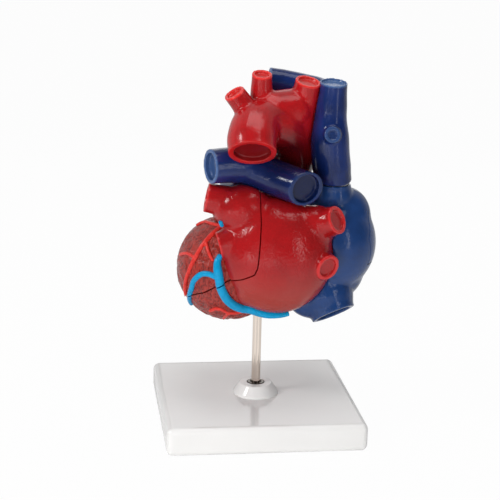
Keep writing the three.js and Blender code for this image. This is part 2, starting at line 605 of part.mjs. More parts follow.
const neckMagnet = NECK.route[2].clone().add(at(NECK.radii[2] - VESSEL_WALL / 2, 0, SEAM_GAP));
magnetPair('aorta_magnet', rootMagnet, at(0, 0, 1), SMALL_MAGNET, 'aortic_arch', 'aortic_root');
magnetPair('vein_magnet', neckMagnet, at(0, 0, 1), SMALL_MAGNET, 'upper_hollow_vein', 'right_atrium_back');

// Muscle, in three parts
const socketRadius = ROD_RADIUS + SLIDE_FIT + SOCKET_WALL;
const socketTop = ROD_TOP + SLIDE_FIT + SOCKET_CAP;
const socketBore = disc(socketRadius + JOINT_GAP, socketTop + JOINT_GAP, at(0, 0, 0), at(0, 0, 1));
const ventriclesGrown = ventricles(JOINT_GAP);
const hollowVentricles = cut(ventricles(), leftCavity, rightCavity, socketBore);
const core = cut(hollowVentricles, leftMuscle.empty, frontEmpty);
const leftWall = hollowVentricles.intersect(leftMuscle.part);
const frontWall = hollowVentricles.intersect(frontPart);
add('ventricle_core', pocketed('ventricle_core', core), muscle);
add('left_ventricle_wall', pocketed('left_ventricle_wall', leftWall), muscle);
add('front_ventricle_wall', pocketed('front_ventricle_wall', frontWall), muscle);

// Atria, the left in two parts along the seam and the right in two along the ridge
const rootGrown = root(ROOT_RADIUS + JOINT_GAP, ROOT_FOOT, ROOT_PLANE + SEAM_GAP);
const archGrown = arch(SEAM_GAP);
const lungsGrown = join(...lungTubes.map((vessel) => grown(vessel, SEAM_GAP)));
const around = [ventriclesGrown, rootGrown, archGrown, lungsGrown, tricuspidBore];
const stubMouths = VEIN_STUBS.map((stub) => mouth(stub, STUB_WALL, SHALLOW_DEPTH));
const leftShell = cut(leftAtrium(), ...around, leftAtriumCavity, ...stubMouths);
add('left_atrium_back', cut(leftShell, leftDome.empty), atriumRed);
add('left_atrium_wall', leftShell.intersect(leftDome.part), atriumRed);
const leftAtriumGrown = leftAtrium(JOINT_GAP);
const rightShell = cut(
  rightAtrium(), ...around, leftAtriumGrown, rightAtriumCavity, above(CAVA_PLANE), mouth(LOWER_CAVA));
add('right_atrium_back', pocketed('right_atrium_back', cut(rightShell, rightEmpty)), veinBlue);
add('right_atrium_wall', pocketed('right_atrium_wall', rightShell.intersect(rightPart)), veinBlue);

// Aorta
const rootPipe = cut(
  root(ROOT_RADIUS, ROOT_FOOT, ROOT_PLANE),
  ventriclesGrown,
  tricuspidBore,
  root(ROOT_BORE, ROOT_FOOT - 1, ROOT_PLANE + 1),
);
add('aortic_root', pocketed('aortic_root', rootPipe), arteryRed);
const archShell = cut(
  arch(),
  tube({ ...ARCH, sides: 10, steps: 7 }, -VESSEL_WALL, ARCH.bored, BORE_REACH),
  below(ROOT_PLANE + SEAM_GAP),
  mouth(ARCH, AORTA_RIM),
  ...ARCH_BRANCHES.map((branch) => mouth(branch, THIN_WALL, SHALLOW_DEPTH)),
);
add('aortic_arch', pocketed('aortic_arch', archShell), arteryRed);

// Lung arteries and upper hollow vein
const lungShell = cut(
  join(...lungTubes.map((vessel) => tube(vessel))),
  archGrown,
  below(TRUNK_PLANE + SEAM_GAP),
  tube({ ...LUNG_TRUNK, sides: 10, steps: 5 }, -VESSEL_WALL, LUNG_TRUNK.bored, BORE_REACH),
  mouth(LEFT_LUNG_ARTERY, STUB_WALL),
  mouth(RIGHT_LUNG_ARTERY, STUB_WALL),
);
add('lung_arteries', lungShell, veinBlue);
const cavaBranches = [
  tube({ ...LEFT_ARM_VEIN, sides: 10, steps: 5 }),
  tube({ ...BACK_STUB, sides: 10, steps: 1 }),
];
const cavaShell = cut(
  join(tube({ ...UPPER_CAVA, sides: 12, steps: 6 }), ...cavaBranches),
  archGrown,
  below(CAVA_PLANE + SEAM_GAP),
  tube({ ...UPPER_CAVA, sides: 10, steps: 5 }, -VESSEL_WALL, UPPER_CAVA.bored, BORE_REACH),
  mouth(UPPER_CAVA, THIN_WALL / 2, SHALLOW_DEPTH),
  mouth(LEFT_ARM_VEIN, THIN_WALL, SHALLOW_DEPTH),
  mouth(BACK_STUB, THIN_WALL, SHALLOW_DEPTH / 2),
);
add('upper_hollow_vein', pocketed('upper_hollow_vein', cavaShell), veinBlue);

// Valves between atria and ventricles: a ring, leaflets that narrow to a mouth with a slit, and cords
const turnsOf = (count) => Array.from({ length: count }, (_, k) => (k * 2 * Math.PI) / count);
function leafletValve(centre, axis, radius, leaflets, papilla) {
  const slits = turnsOf(leaflets);
  const outer = radius - JOINT_GAP;
  const inner = outer - RING_WALL;
  const funnel = turned([
    [inner, -VALVE_STAND], [outer, -VALVE_STAND], [outer, VALVE_RING],
    [LEAFLET_MOUTH + LEAFLET, LEAFLET_REACH], [LEAFLET_MOUTH, LEAFLET_REACH],
    [inner, VALVE_RING - LEAFLET], [inner, -VALVE_STAND],
  ], 12, centre, axis);
  const turn = new THREE.Quaternion().setFromUnitVectors(at(0, 0, 1), axis.clone().normalize());
  const blades = slits.map((angle) => {
    const blade = new THREE.BoxGeometry(radius, SLIT, LEAFLET_REACH);
    blade.translate(radius / 2 + SLIT, 0, LEAFLET_REACH / 2 + VALVE_RING + SLIT).rotateZ(angle);
    return solid(blade.applyQuaternion(turn).translate(centre.x, centre.y, centre.z));
  });
  const tip = papilla.route[2].clone();
  const lift = papilla.route[2].clone().sub(papilla.route[1]).normalize();
  tip.addScaledVector(lift, JOINT_GAP);
  const cords = slits.map((angle) => {
    const hold = at(LEAFLET_MOUTH + LEAFLET / 2, 0, LEAFLET_REACH - 1);
    const from = hold.applyAxisAngle(at(0, 0, 1), angle + Math.PI / leaflets);
    from.applyQuaternion(turn).add(centre);
    const to = tip.clone().lerp(from, 0.06);
    return disc(CORD_RADIUS, from.distanceTo(to), from, to.sub(from).normalize(), 5);
  });
  return join(cut(funnel, ...blades), ...cords);
}
const mitral = leafletValve(MITRAL_CENTRE, MITRAL_AXIS, MITRAL_RADIUS, 2, MITRAL_PAPILLA);
const tricuspid = leafletValve(TRICUSPID_CENTRE, TRICUSPID_AXIS, TRICUSPID_RADIUS, 3, TRICUSPID_PAPILLA);
add('mitral_valve', mitral, leafletWhite);
add('tricuspid_valve', tricuspid, leafletWhite);

// Valves of the two great arteries: three pockets that meet in the middle
function pocketValve(radius, base) {
  const outer = radius - JOINT_GAP;
  const cup = turned([
    [0, 0], [outer / 2, CUSP_FLOOR], [outer, CUSP_DEPTH - 1], [outer, CUSP_DEPTH + CUSP_RIM],
    [outer - LEAFLET, CUSP_DEPTH + CUSP_RIM], [outer / 2, CUSP_FLOOR + LEAFLET], [0, LEAFLET],
  ], 12, base);
  const slits = turnsOf(3).map((angle) => {
    const blade = new THREE.BoxGeometry(0.8 * outer, SLIT / 2, CUSP_DEPTH);
    blade.translate(0.4 * outer + SLIT / 2, 0, CUSP_FLOOR).rotateZ(angle);
    return solid(blade.translate(base.x, base.y, base.z));
  });
  return cut(cup, ...slits);
}
const aorticValve = pocketValve(ROOT_BORE, ROOT_AXIS.clone().setZ(ROOT_PLANE - VALVE_INSET));
const lungValve = pocketValve(LUNG_VALVE_RADIUS, lungValvePlace);
add('aortic_valve', aorticValve, leafletWhite);
add('lung_valve', lungValve, leafletWhite);

// Veins and arteries on the surface
const leftSkins = [ventriclesGrown, leftAtriumGrown];
const onBack = (route, radii, steps, lift) => laid(heartForm, route, radii, steps, lift);
const greatVein = onBack(GREAT_CARDIAC_VEIN.route, GREAT_CARDIAC_VEIN.radii, 12, VEIN_LIFT);
const backVein = onBack(BACK_VEIN, BACK_VEIN_RADII, 7);
const veinLine = cut(join(tube(greatVein), tube(backVein)), ...leftSkins);
add('great_cardiac_vein', veinLine.intersect(leftMuscle.part), paleBlue);
const veinsGrown = join(tube(greatVein, JOINT_GAP), tube(backVein, JOINT_GAP));
const rightAtriumGrown = rightAtrium(JOINT_GAP);
add('coronary_sinus', cut(tube(greatVein), ...leftSkins, rightAtriumGrown, leftMuscle.empty), paleBlue);
add('back_vein', cut(tube(backVein), ...leftSkins, leftMuscle.empty), paleBlue);

const crown = onBack(CROWN_ARTERY, ARTERY_RADII, 8);
const twigs = [UPPER_BRANCH, LEFT_BRANCH, INNER_BRANCH].map((route) => onBack(route, TWIG_RADII, 4));
const crownTree = cut(join(tube(crown), ...twigs.map((twig) => tube(twig))), ...leftSkins, veinsGrown);
add('crown_artery', crownTree.intersect(leftMuscle.part), coronaryRed);
const lowerTwigs = [LOWER_ARTERY, LOWER_BRANCH].map((route) => onBack(route, TWIG_RADII, 4));
const lowerTree = join(...lowerTwigs.map((twig) => tube(twig)));
add('lower_artery', cut(lowerTree, ...leftSkins, veinsGrown), coronaryRed);

const onFront = (route, radii, steps) => laid(ventricleForm, route, radii, steps);
const frontArtery = onFront(FRONT_ARTERY, ARTERY_RADII, 8);
const frontBranch = onFront(FRONT_BRANCH, TWIG_RADII, 5);
const frontTree = (grow) => join(tube(frontArtery, grow), tube(frontBranch, grow));
add('front_artery', cut(frontTree(0), ventriclesGrown).intersect(frontPart), coronaryRed);
const frontVein = tube(onFront(FRONT_VEIN, FRONT_VEIN_RADII, 7));
add('front_vein', cut(frontVein, ventriclesGrown, frontTree(JOINT_GAP)).intersect(frontPart), paleBlue);
const rightArtery = tube(onFront(RIGHT_ARTERY, ARTERY_RADII, 8));
add('right_artery', cut(rightArtery, ventriclesGrown, rightAtriumGrown).intersect(frontPart), coronaryRed);

// Stand: a moulded base with ribs, a boss and a collar, the rod and the washer round its foot
function roundedSquare(size, corner) {
  const half = size / 2;
  const shape = new THREE.Shape();
  shape.moveTo(-half + corner, -half);
  shape.lineTo(half - corner, -half);
  shape.absarc(half - corner, -half + corner, corner, -Math.PI / 2, 0, false);
  shape.lineTo(half, half - corner);
  shape.absarc(half - corner, half - corner, corner, 0, Math.PI / 2, false);
  shape.lineTo(-half + corner, half);
  shape.absarc(-half + corner, half - corner, corner, Math.PI / 2, Math.PI, false);
  shape.lineTo(-half, -half + corner);
  shape.absarc(-half + corner, -half + corner, corner, Math.PI, 1.5 * Math.PI, false);
  return shape;
}
const extruded = (shape, settings, z) => solid(new THREE.ExtrudeGeometry(shape, settings).translate(0, 0, z));
const baseSkin = extruded(roundedSquare(BASE_SIZE, BASE_CORNER), {
  depth: BASE_HEIGHT,
  curveSegments: 3,
  bevelThickness: BASE_EDGE,
  bevelSize: BASE_EDGE,
  bevelOffset: -BASE_EDGE,
  bevelSegments: 2,
}, -BASE_EDGE);
const underFloor = slab([[-far, -far], [far, -far], [far, 0], [-far, 0]], -far, far);
const hollow = extruded(roundedSquare(BASE_SIZE - 2 * BASE_WALL, BASE_CORNER - BASE_WALL), {
  depth: BASE_HEIGHT - BASE_WALL + 1, curveSegments: 3, bevelEnabled: false,
}, -1);
const rib = (x, y) => solid(
  new THREE.BoxGeometry(x, y, BASE_HEIGHT).translate(0, 0, BASE_HEIGHT / 2 + RIB_FOOT));
const boss = disc(BOSS_RADIUS, BASE_HEIGHT, at(0, 0, 0), at(0, 0, 1), 16);
const bays = cut(hollow, rib(BASE_SIZE, RIB_THICKNESS), rib(RIB_THICKNESS, BASE_SIZE), boss);
const collar = turned([
  [0, BASE_HEIGHT - 1], [COLLAR_RADIUS, BASE_HEIGHT - 1], [COLLAR_RADIUS, BASE_HEIGHT + COLLAR_RIM],
  [COLLAR_TOP_RADIUS, BASE_HEIGHT + COLLAR_HEIGHT], [0, BASE_HEIGHT + COLLAR_HEIGHT],
], 20);
const collarTop = BASE_HEIGHT + COLLAR_HEIGHT;
const rodHole = disc(ROD_RADIUS + JOINT_GAP, collarTop, at(0, 0, ROD_SEAT - JOINT_GAP), at(0, 0, 1));
const washerFoot = collarTop + WASHER_STAND - WASHER_THICKNESS;
const washerSeat = disc(
  WASHER_RADIUS + JOINT_GAP, WASHER_THICKNESS + JOINT_GAP, at(0, 0, washerFoot - JOINT_GAP), at(0, 0, 1), 20);
add('base_plate', cut(join(cut(baseSkin, underFloor, bays), collar), rodHole, washerSeat), whitePlastic);
add('support_rod', turned([
  [0, ROD_SEAT], [ROD_RADIUS - ROD_CHAMFER, ROD_SEAT], [ROD_RADIUS, ROD_SEAT + ROD_CHAMFER],
  [ROD_RADIUS, ROD_TOP - ROD_CHAMFER], [ROD_RADIUS - ROD_CHAMFER, ROD_TOP], [0, ROD_TOP],
], 16), chrome);
add('rod_washer', turned([
  [WASHER_BORE, washerFoot], [WASHER_RADIUS, washerFoot], [WASHER_RADIUS, washerFoot + WASHER_THICKNESS],
  [WASHER_BORE, washerFoot + WASHER_THICKNESS], [WASHER_BORE, washerFoot],
], 20), chrome);
const slideRadius = ROD_RADIUS + SLIDE_FIT;
add('rod_socket', turned([
  [slideRadius, SOCKET_FOOT], [socketRadius, SOCKET_FOOT], [socketRadius, socketTop], [0, socketTop],
  [0, ROD_TOP + SLIDE_FIT], [slideRadius, ROD_TOP + SLIDE_FIT], [slideRadius, SOCKET_FOOT],
], 20), magnetSteel);

export default group;
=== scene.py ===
# %% [markdown]
# The object is a teaching model of the human heart, as it stands in a classroom. The heart is moulded
# in vinyl, in five parts that magnets hold together, and it sits on a chromed rod over a white plastic base.
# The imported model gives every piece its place, so it is loaded first, and each form is then modelled round it.

# %% Load the frame
import json
import math
import bpy
import numpy as np
from mathutils import Matrix, Vector

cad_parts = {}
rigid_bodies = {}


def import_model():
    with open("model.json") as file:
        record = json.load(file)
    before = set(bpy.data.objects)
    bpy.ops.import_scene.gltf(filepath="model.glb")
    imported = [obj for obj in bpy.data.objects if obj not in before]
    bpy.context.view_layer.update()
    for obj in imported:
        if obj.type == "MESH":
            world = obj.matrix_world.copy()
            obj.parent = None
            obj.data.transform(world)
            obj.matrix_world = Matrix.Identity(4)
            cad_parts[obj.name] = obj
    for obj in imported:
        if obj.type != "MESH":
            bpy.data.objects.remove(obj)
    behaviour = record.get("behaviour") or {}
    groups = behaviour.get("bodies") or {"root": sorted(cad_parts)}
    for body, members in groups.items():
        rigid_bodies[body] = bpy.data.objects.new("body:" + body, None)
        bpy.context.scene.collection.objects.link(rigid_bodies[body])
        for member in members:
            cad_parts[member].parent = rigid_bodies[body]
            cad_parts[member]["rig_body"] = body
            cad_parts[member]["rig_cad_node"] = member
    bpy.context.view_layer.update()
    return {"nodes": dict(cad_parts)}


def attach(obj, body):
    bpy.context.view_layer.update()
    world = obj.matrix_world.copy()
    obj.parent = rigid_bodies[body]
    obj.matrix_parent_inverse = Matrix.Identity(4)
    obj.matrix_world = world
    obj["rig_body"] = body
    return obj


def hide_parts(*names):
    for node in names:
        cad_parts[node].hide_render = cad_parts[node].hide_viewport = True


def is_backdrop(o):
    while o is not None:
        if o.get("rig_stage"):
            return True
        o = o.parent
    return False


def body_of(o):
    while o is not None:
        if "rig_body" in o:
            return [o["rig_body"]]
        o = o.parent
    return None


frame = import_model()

MM = 0.001  # the frame is in metres, and the heart is easier to think of in millimetres

# %% [markdown]
# A photograph of the model was taken from a little above, with a long lens, turned slightly to one side.
# The camera could be put there by eye. It was worked out instead: the base is a square of known size, so its
# four corners in the picture and the foot of the rod say where the lens stood.

# %% The camera
CAMERA_PLACE = (-177.07, -1208.75, 485.69)  # in mm, from the middle of the base
CAMERA_AZIMUTH, CAMERA_HEIGHT, CAMERA_ROLL = (math.radians(a) for a in (-7.951, 14.981, 1.460))
FOCAL_PIXELS, PICTURE_PIXELS, SENSOR = 1421.5, 500, 36.0

back = Vector((
    math.sin(CAMERA_AZIMUTH) * math.cos(CAMERA_HEIGHT),
    -math.cos(CAMERA_AZIMUTH) * math.cos(CAMERA_HEIGHT),
    math.sin(CAMERA_HEIGHT),
))
level = Vector((0, 0, 1)).cross(back).normalized()
upright = back.cross(level)
right = level * math.cos(CAMERA_ROLL) + upright * math.sin(CAMERA_ROLL)
up = upright * math.cos(CAMERA_ROLL) - level * math.sin(CAMERA_ROLL)
bpy.ops.object.camera_add()
camera = bpy.context.object
turned = Matrix((right, up, back)).transposed().to_4x4()
camera.matrix_world = Matrix.Translation(Vector(CAMERA_PLACE) * MM) @ turned
camera.data.sensor_width = SENSOR
camera.data.lens = FOCAL_PIXELS * SENSOR / PICTURE_PIXELS
bpy.context.scene.camera = camera
print("lens", round(camera.data.lens, 1), "mm")

# %% [markdown]
# Each material is a small network of nodes. Colours are chosen as they look on a screen, in sRGB, and the
# shader works in linear light, so one function turns them. Another adds a node with its settings and links.
# Patterns are laid out in millimetres: the Object coordinates are in metres, so they are multiplied up first.

# %% Colour and node helpers
def linear(colour):
    """An sRGB hex colour as linear red, green, blue and alpha."""
    parts = [int(colour[i:i + 2], 16) / 255 for i in (1, 3, 5)]
    return (*[c / 12.92 if c <= 0.04045 else ((c + 0.055) / 1.055) ** 2.4 for c in parts], 1.0)


def put(tree, kind, inputs=None, **settings):
    """Adds a node. Each input is a value, or the output that it is linked to."""
    node = tree.nodes.new(kind)
    for name, value in settings.items():
        setattr(node, name, value)
    for key, value in (inputs or {}).items():
        if isinstance(value, bpy.types.NodeSocket):
            tree.links.new(value, node.inputs[key])
        else:
            node.inputs[key].default_value = value
    return node


def new_material(name):
    """An empty node material, with the places on the piece in millimetres."""
    material = bpy.data.materials.new(name)
    material.use_nodes = True
    tree = material.node_tree
    tree.nodes.clear()
    places = put(tree, "ShaderNodeTexCoord").outputs["Object"]
    in_mm = put(tree, "ShaderNodeVectorMath", {0: places, "Scale": 1 / MM}, operation="SCALE").outputs[0]
    return material, tree, in_mm


# %% [markdown]
# Every finish here ends in the same way: a relief becomes bumps, a principled shader takes them with the colour
# and the roughness, and the output takes the shader. One function makes that end, so that each finish only
# says what is special about it. A Mix node's colour sockets have numbers for names, so they are named here.

# %% The end of every finish
MIX_FACTOR, MIX_A, MIX_B, MIX_OUT = 0, 6, 7, 2  # the sockets of a Mix node that mixes colours


def coat(tree, colour, roughness, relief, depth, **more):
    """Ends a finish: its colour, its roughness, and a relief whose depth is in millimetres."""
    bump = put(tree, "ShaderNodeBump", {"Strength": 1.0, "Distance": depth * MM, "Height": relief}).outputs[0]
    skin = put(tree, "ShaderNodeBsdfPrincipled",
               {"Base Color": colour, "Roughness": roughness, "Normal": bump, **more})
    put(tree, "ShaderNodeOutputMaterial", {"Surface": skin.outputs[0]})


# %% [markdown]
# The floor is a plain pale sheet. It shows to the camera as white, but it still takes the soft shadow of the
# base, which is what makes the model stand on something. Brightening the lamps until the floor burns out
# would bleach the plastic too, so the whiteness comes from a share of emission in the floor's own material.
# A mirror gets a share of it too. Near the base it is bright in two bands, left and right of the camera's side,
# and the chromed rod shows them as its two light lines. In front it is dim, so that no veil lies on the vinyl.

# %% The floor
FLOOR_SIZE = 40.0  # metres
FLOOR_GLOW = 0.97  # how much of the floor is plain white to the camera
MIRRORED_NEAR, MIRRORED_FRONT, MIRRORED_BACK = 0.36, 0.08, 0.5  # and how bright a mirror shows it
NEAR_STARTS, NEAR_FULL = 0.52, 0.37  # metres from the rod, between which the near floor takes over
FRONT_Y, BACK_Y = -0.3, 0.6  # metres along Y, between which the front turns into the back
FACING = math.radians(-8)  # the camera's side of the rod
BAND_STARTS, BAND_FULL = 0.3, 0.55  # radians from that side, between which each bright band comes
BAND_FADES, BAND_GONE = 0.7, 1.1  # and between which it goes
BAND_DROP = 0.62  # how much darker the near floor is beyond its bands


def in_sight(tree):
    """The rays that come from the camera or passed through glass, and those that left a mirror."""
    path = put(tree, "ShaderNodeLightPath").outputs
    seen = {0: path["Is Camera Ray"], 1: path["Is Transmission Ray"]}
    clear = put(tree, "ShaderNodeMath", seen, operation="MAXIMUM").outputs[0]
    return clear, path["Is Glossy Ray"]


bpy.ops.mesh.primitive_plane_add(size=FLOOR_SIZE)
floor = bpy.context.object
floor.name = "floor"
paper, tree, _ = new_material("pale studio paper")
clear, mirrored = in_sight(tree)
spot = put(tree, "ShaderNodeNewGeometry").outputs["Position"]
across = put(tree, "ShaderNodeSeparateXYZ", {0: spot}).outputs
toward = put(tree, "ShaderNodeMath", {0: across["Y"], 1: -1.0}, operation="MULTIPLY").outputs[0]
turn = put(tree, "ShaderNodeMath", {0: across["X"], 1: toward}, operation="ARCTAN2").outputs[0]
beside = put(tree, "ShaderNodeMath", {0: turn, 1: FACING}, operation="SUBTRACT").outputs[0]
aside = put(tree, "ShaderNodeMath", {0: beside}, operation="ABSOLUTE").outputs[0]
comes = put(tree, "ShaderNodeMapRange",
            {0: aside, 1: BAND_STARTS, 2: BAND_FULL, 3: MIRRORED_NEAR, 4: 1.0}).outputs[0]
goes = put(tree, "ShaderNodeMapRange", {0: aside, 1: BAND_FADES, 2: BAND_GONE, 3: 0.0, 4: BAND_DROP}).outputs[0]
bands = put(tree, "ShaderNodeMath", {0: comes, 1: goes}, operation="SUBTRACT").outputs[0]
far_off = put(tree, "ShaderNodeMapRange",
              {0: across["Y"], 1: FRONT_Y, 2: BACK_Y, 3: MIRRORED_FRONT, 4: MIRRORED_BACK}).outputs[0]
distance = put(tree, "ShaderNodeVectorMath", {0: spot}, operation="LENGTH").outputs["Value"]
near = put(tree, "ShaderNodeMapRange", {0: distance, 1: NEAR_STARTS, 2: NEAR_FULL}).outputs[0]
shine = put(tree, "ShaderNodeMix", {0: near, 2: far_off, 3: bands}).outputs[0]
plain = put(tree, "ShaderNodeMath", {0: clear, 1: FLOOR_GLOW}, operation="MULTIPLY").outputs[0]
glowing = put(tree, "ShaderNodeMath", {0: mirrored, 1: shine, 2: plain}, operation="MULTIPLY_ADD").outputs[0]
matte = put(tree, "ShaderNodeBsdfDiffuse", {"Color": linear("#EDEDED")}).outputs[0]
glow = put(tree, "ShaderNodeEmission", {"Color": linear("#FFFFFF"), "Strength": 1.0}).outputs[0]
sheet = put(tree, "ShaderNodeMixShader", {0: glowing, 1: matte, 2: glow})
put(tree, "ShaderNodeOutputMaterial", {"Surface": sheet.outputs[0]})
floor.data.materials.append(paper)
floor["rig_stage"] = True
print("floor", FLOOR_SIZE, "m wide")

# %% [markdown]
# Glossy plastic is mostly seen by what it reflects. The real model was lit by soft boxes, whose reflections
# break into pale flecks on the wrinkled skin. Area lamps do that here: a square one high on the left, a low
# strip under it, a tall strip on the right, a broad one overhead and one behind. A broad fill in front is kept
# out of the reflections, as a polarising filter would do it. The room is light behind the model and dim behind
# the camera, so that no pale veil lies over the dark blue.

# %% The lamps and the world
LAMPS = {  # place and size in mm, power in watts, and whether a mirror shows it
    "front_fill": ((-420, -1230, 250), (900, 480), 8.8, False),
    "key_box": ((-960, -260, 900), (300, 300), 4.4, True),
    "low_box": ((-720, -750, 70), (110, 300), 0.3, True),
    "right_box": ((660, -950, 330), (110, 650), 0.7, True),
    "top_box": ((140, -60, 1200), (560, 1000), 3.9, True),
    "back_box": ((250, 1100, 700), (900, 700), 1.5, True),
}
AMBIENT = 0.26
ROOM_FRONT, ROOM_BACK = 0.08, 0.6  # what a mirror sees behind the camera and behind the model
TURN_STARTS, TURN_ENDS = -0.1, 0.5  # the way's share along Y, between which the one turns into the other
HEART_MIDDLE = Vector((0, 0, 190)) * MM

for name, (place, (width, height), power, in_mirrors) in LAMPS.items():
    bpy.ops.object.light_add(type="AREA", location=Vector(place) * MM)
    lamp = bpy.context.object
    lamp.name = name
    lamp.data.shape = "RECTANGLE"
    lamp.data.size, lamp.data.size_y = width * MM, height * MM
    lamp.data.energy = power
    lamp.visible_glossy = in_mirrors
    lamp.rotation_euler = (HEART_MIDDLE - lamp.location).to_track_quat("-Z", "Y").to_euler()

world = bpy.data.worlds.new("studio")
bpy.context.scene.world = world
world.use_nodes = True
tree = world.node_tree
tree.nodes.clear()
clear, mirrored = in_sight(tree)
way = put(tree, "ShaderNodeSeparateXYZ", {0: put(tree, "ShaderNodeTexCoord").outputs["Generated"]})
room = put(tree, "ShaderNodeMapRange",
           {0: way.outputs["Y"], 1: TURN_STARTS, 2: TURN_ENDS, 3: ROOM_FRONT, 4: ROOM_BACK}).outputs[0]
around = put(tree, "ShaderNodeBackground", {"Color": linear("#E9EAEC"), "Strength": AMBIENT}).outputs[0]
in_mirror = put(tree, "ShaderNodeBackground", {"Color": linear("#FFFFFF"), "Strength": room}).outputs[0]
white = put(tree, "ShaderNodeBackground", {"Color": linear("#FFFFFF"), "Strength": 1.0}).outputs[0]
unseen = put(tree, "ShaderNodeMixShader", {0: mirrored, 1: around, 2: in_mirror}).outputs[0]
studio = put(tree, "ShaderNodeMixShader", {0: clear, 1: unseen, 2: white})
put(tree, "ShaderNodeOutputWorld", {"Surface": studio.outputs[0]})
scene = bpy.context.scene
scene.view_settings.view_transform = "Standard"
print(len(LAMPS), "lamps of", round(sum(power for _, _, power, _ in LAMPS.values()), 1), "W in all")

# %% [markdown]
# A heart has no flat face to measure, but each of its swellings is nearly a ball, an egg or a rounded cone.
# Those are quick to place and to correct. An egg is a sphere that is scaled. A rounded cone is the skin that
# is stretched over two balls, which edit mode's convex hull makes in one step.

# %% Balls, eggs and rounded cones
def alone(thing):
    """Leaves only this object selected, and active."""
    bpy.ops.object.select_all(action="DESELECT")
    thing.select_set(True)
    bpy.context.view_layer.objects.active = thing
    return thing


def joined(things, name):
    """Several objects as one."""
    alone(things[0])
    for thing in things[1:]:
        thing.select_set(True)
    if len(things) > 1:
        bpy.ops.object.join()
    things[0].name = name
    return things[0]


def egg(middle, radii, sides=64):
    """A sphere that is scaled along X, Y and Z."""
    bpy.ops.object.select_all(action="DESELECT")
    bpy.ops.mesh.primitive_uv_sphere_add(segments=sides, ring_count=sides // 2, radius=1, location=Vector(middle) * MM)
    ball = bpy.context.object
    ball.scale = Vector(radii) * MM
    bpy.ops.object.transform_apply(location=True, rotation=True, scale=True)
    return ball


def round_cone(start, start_radius, end, end_radius):
    """The skin stretched over two balls."""
    cone = joined([egg(start, [start_radius] * 3), egg(end, [end_radius] * 3)], "round_cone")
    bpy.ops.object.mode_set(mode="EDIT")
    bpy.ops.mesh.select_all(action="SELECT")
    bpy.ops.mesh.convex_hull()
    bpy.ops.object.mode_set(mode="OBJECT")
    return cone


# %% [markdown]
# A vessel could be drawn out of a circle, ring by ring. A curve with a round section does it in one go: it
# bends smoothly through a few points, and each point has its own radius. Its loose ends are then closed.

# %% Vessels
def closed(thing):
    """Merges doubled points and turns the faces outwards."""
    alone(thing)
    bpy.ops.object.mode_set(mode="EDIT")
    bpy.ops.mesh.select_all(action="SELECT")
    bpy.ops.mesh.remove_doubles(threshold=0.01 * MM)
    bpy.ops.mesh.normals_make_consistent(inside=False)
    bpy.ops.object.mode_set(mode="OBJECT")
    return thing


def end_way(route):
    """The way a vessel points at its cut end."""
    return (Vector(route[-1]) - Vector(route[-2])).normalized()


def vessel(route, radii, past=0.0, sides=48, steps=12):
    """A tube through points, its radius eased between the given ones. It can run on past its last point."""
    shares = np.linspace(0, len(radii) - 1, len(route))
    stops = list(zip(map(Vector, route), np.interp(shares, range(len(radii)), radii)))
    if past:
        stops.append((stops[-1][0] + end_way(route) * past, radii[-1]))
    bpy.ops.object.select_all(action="DESELECT")
    bpy.ops.curve.primitive_bezier_curve_add()
    line = bpy.context.object
    line.data.dimensions = "3D"
    line.data.bevel_depth = MM
    line.data.bevel_resolution = sides // 4 - 2
    line.data.use_fill_caps = True
    line.data.resolution_u = steps
    spline = line.data.splines[0]
    spline.bezier_points.add(len(stops) - 2)
    spline.radius_interpolation = "EASE"
    for point, (place, radius) in zip(spline.bezier_points, stops):
        point.co = place * MM
        point.handle_left_type = point.handle_right_type = "AUTO"
        point.radius = radius
    bpy.ops.object.convert(target="MESH")
    return closed(bpy.context.object)


# %% [markdown]
# What is drilled, sawn or parted needs a tool of its own. A round bar drills and saws. A flat outline that is
# drawn out far past the heart parts it along any line, straight or curved.

# %% Tools to drill and to part with
FAR = 160  # past every part of the heart
CLEAR = 1  # how far a tool sticks out of what it cuts


def disc(radius, length, foot, way, sides=64):
    """A round bar that starts at a foot and runs some way."""
    way = Vector(way).normalized()
    bpy.ops.object.select_all(action="DESELECT")
    bpy.ops.mesh.primitive_cylinder_add(vertices=sides, radius=radius * MM, depth=length * MM)
    bar = bpy.context.object
    middle = Vector(foot) * MM + way * (length * MM / 2)
    bar.matrix_world = Matrix.Translation(middle) @ way.to_track_quat("Z", "Y").to_matrix().to_4x4()
    bpy.ops.object.transform_apply(location=True, rotation=True, scale=True)
    return bar


def prism(outline, across, start, end):
    """A flat outline drawn out along X, Y or Z. The outline gives the two other coordinates, in their order."""
    bpy.ops.object.select_all(action="DESELECT")
    bpy.ops.mesh.primitive_circle_add(vertices=len(outline), radius=MM, fill_type="NGON")
    block = bpy.context.object
    for point, (a, b) in zip(block.data.vertices, outline):
        place = [a, b]
        place.insert("XYZ".index(across), start)
        point.co = Vector(place) * MM
    move = [0, 0, 0]
    move["XYZ".index(across)] = (end - start) * MM
    bpy.ops.object.mode_set(mode="EDIT")
    bpy.ops.mesh.select_all(action="SELECT")
    bpy.ops.mesh.extrude_region_move(TRANSFORM_OT_translate={"value": move})
    bpy.ops.mesh.select_all(action="SELECT")
    bpy.ops.mesh.normals_make_consistent(inside=False)
    bpy.ops.object.mode_set(mode="OBJECT")
    return block


def below(height):
    """Everything up to a height."""
    return prism([(-FAR, 0), (FAR, 0), (FAR, height), (-FAR, height)], "Y", -FAR, FAR)


def above(height):
    """Everything from a height up."""
    return prism([(-FAR, height), (FAR, height), (FAR, 2 * FAR), (-FAR, 2 * FAR)], "Y", -FAR, FAR)


# %% [markdown]
# The forms are melted together as a sculptor would: a voxel remesh gives them one even skin, and smoothing
# lets the creases between them fill. What is hollowed is cut with Booleans, and a last fine remesh rounds
# those edges a little, as an edge is that has come out of a mould. The seams are cut after it and stay sharp.

# %% Melting and cutting
SHARP = 55  # degrees. What bends more than this stays an edge.


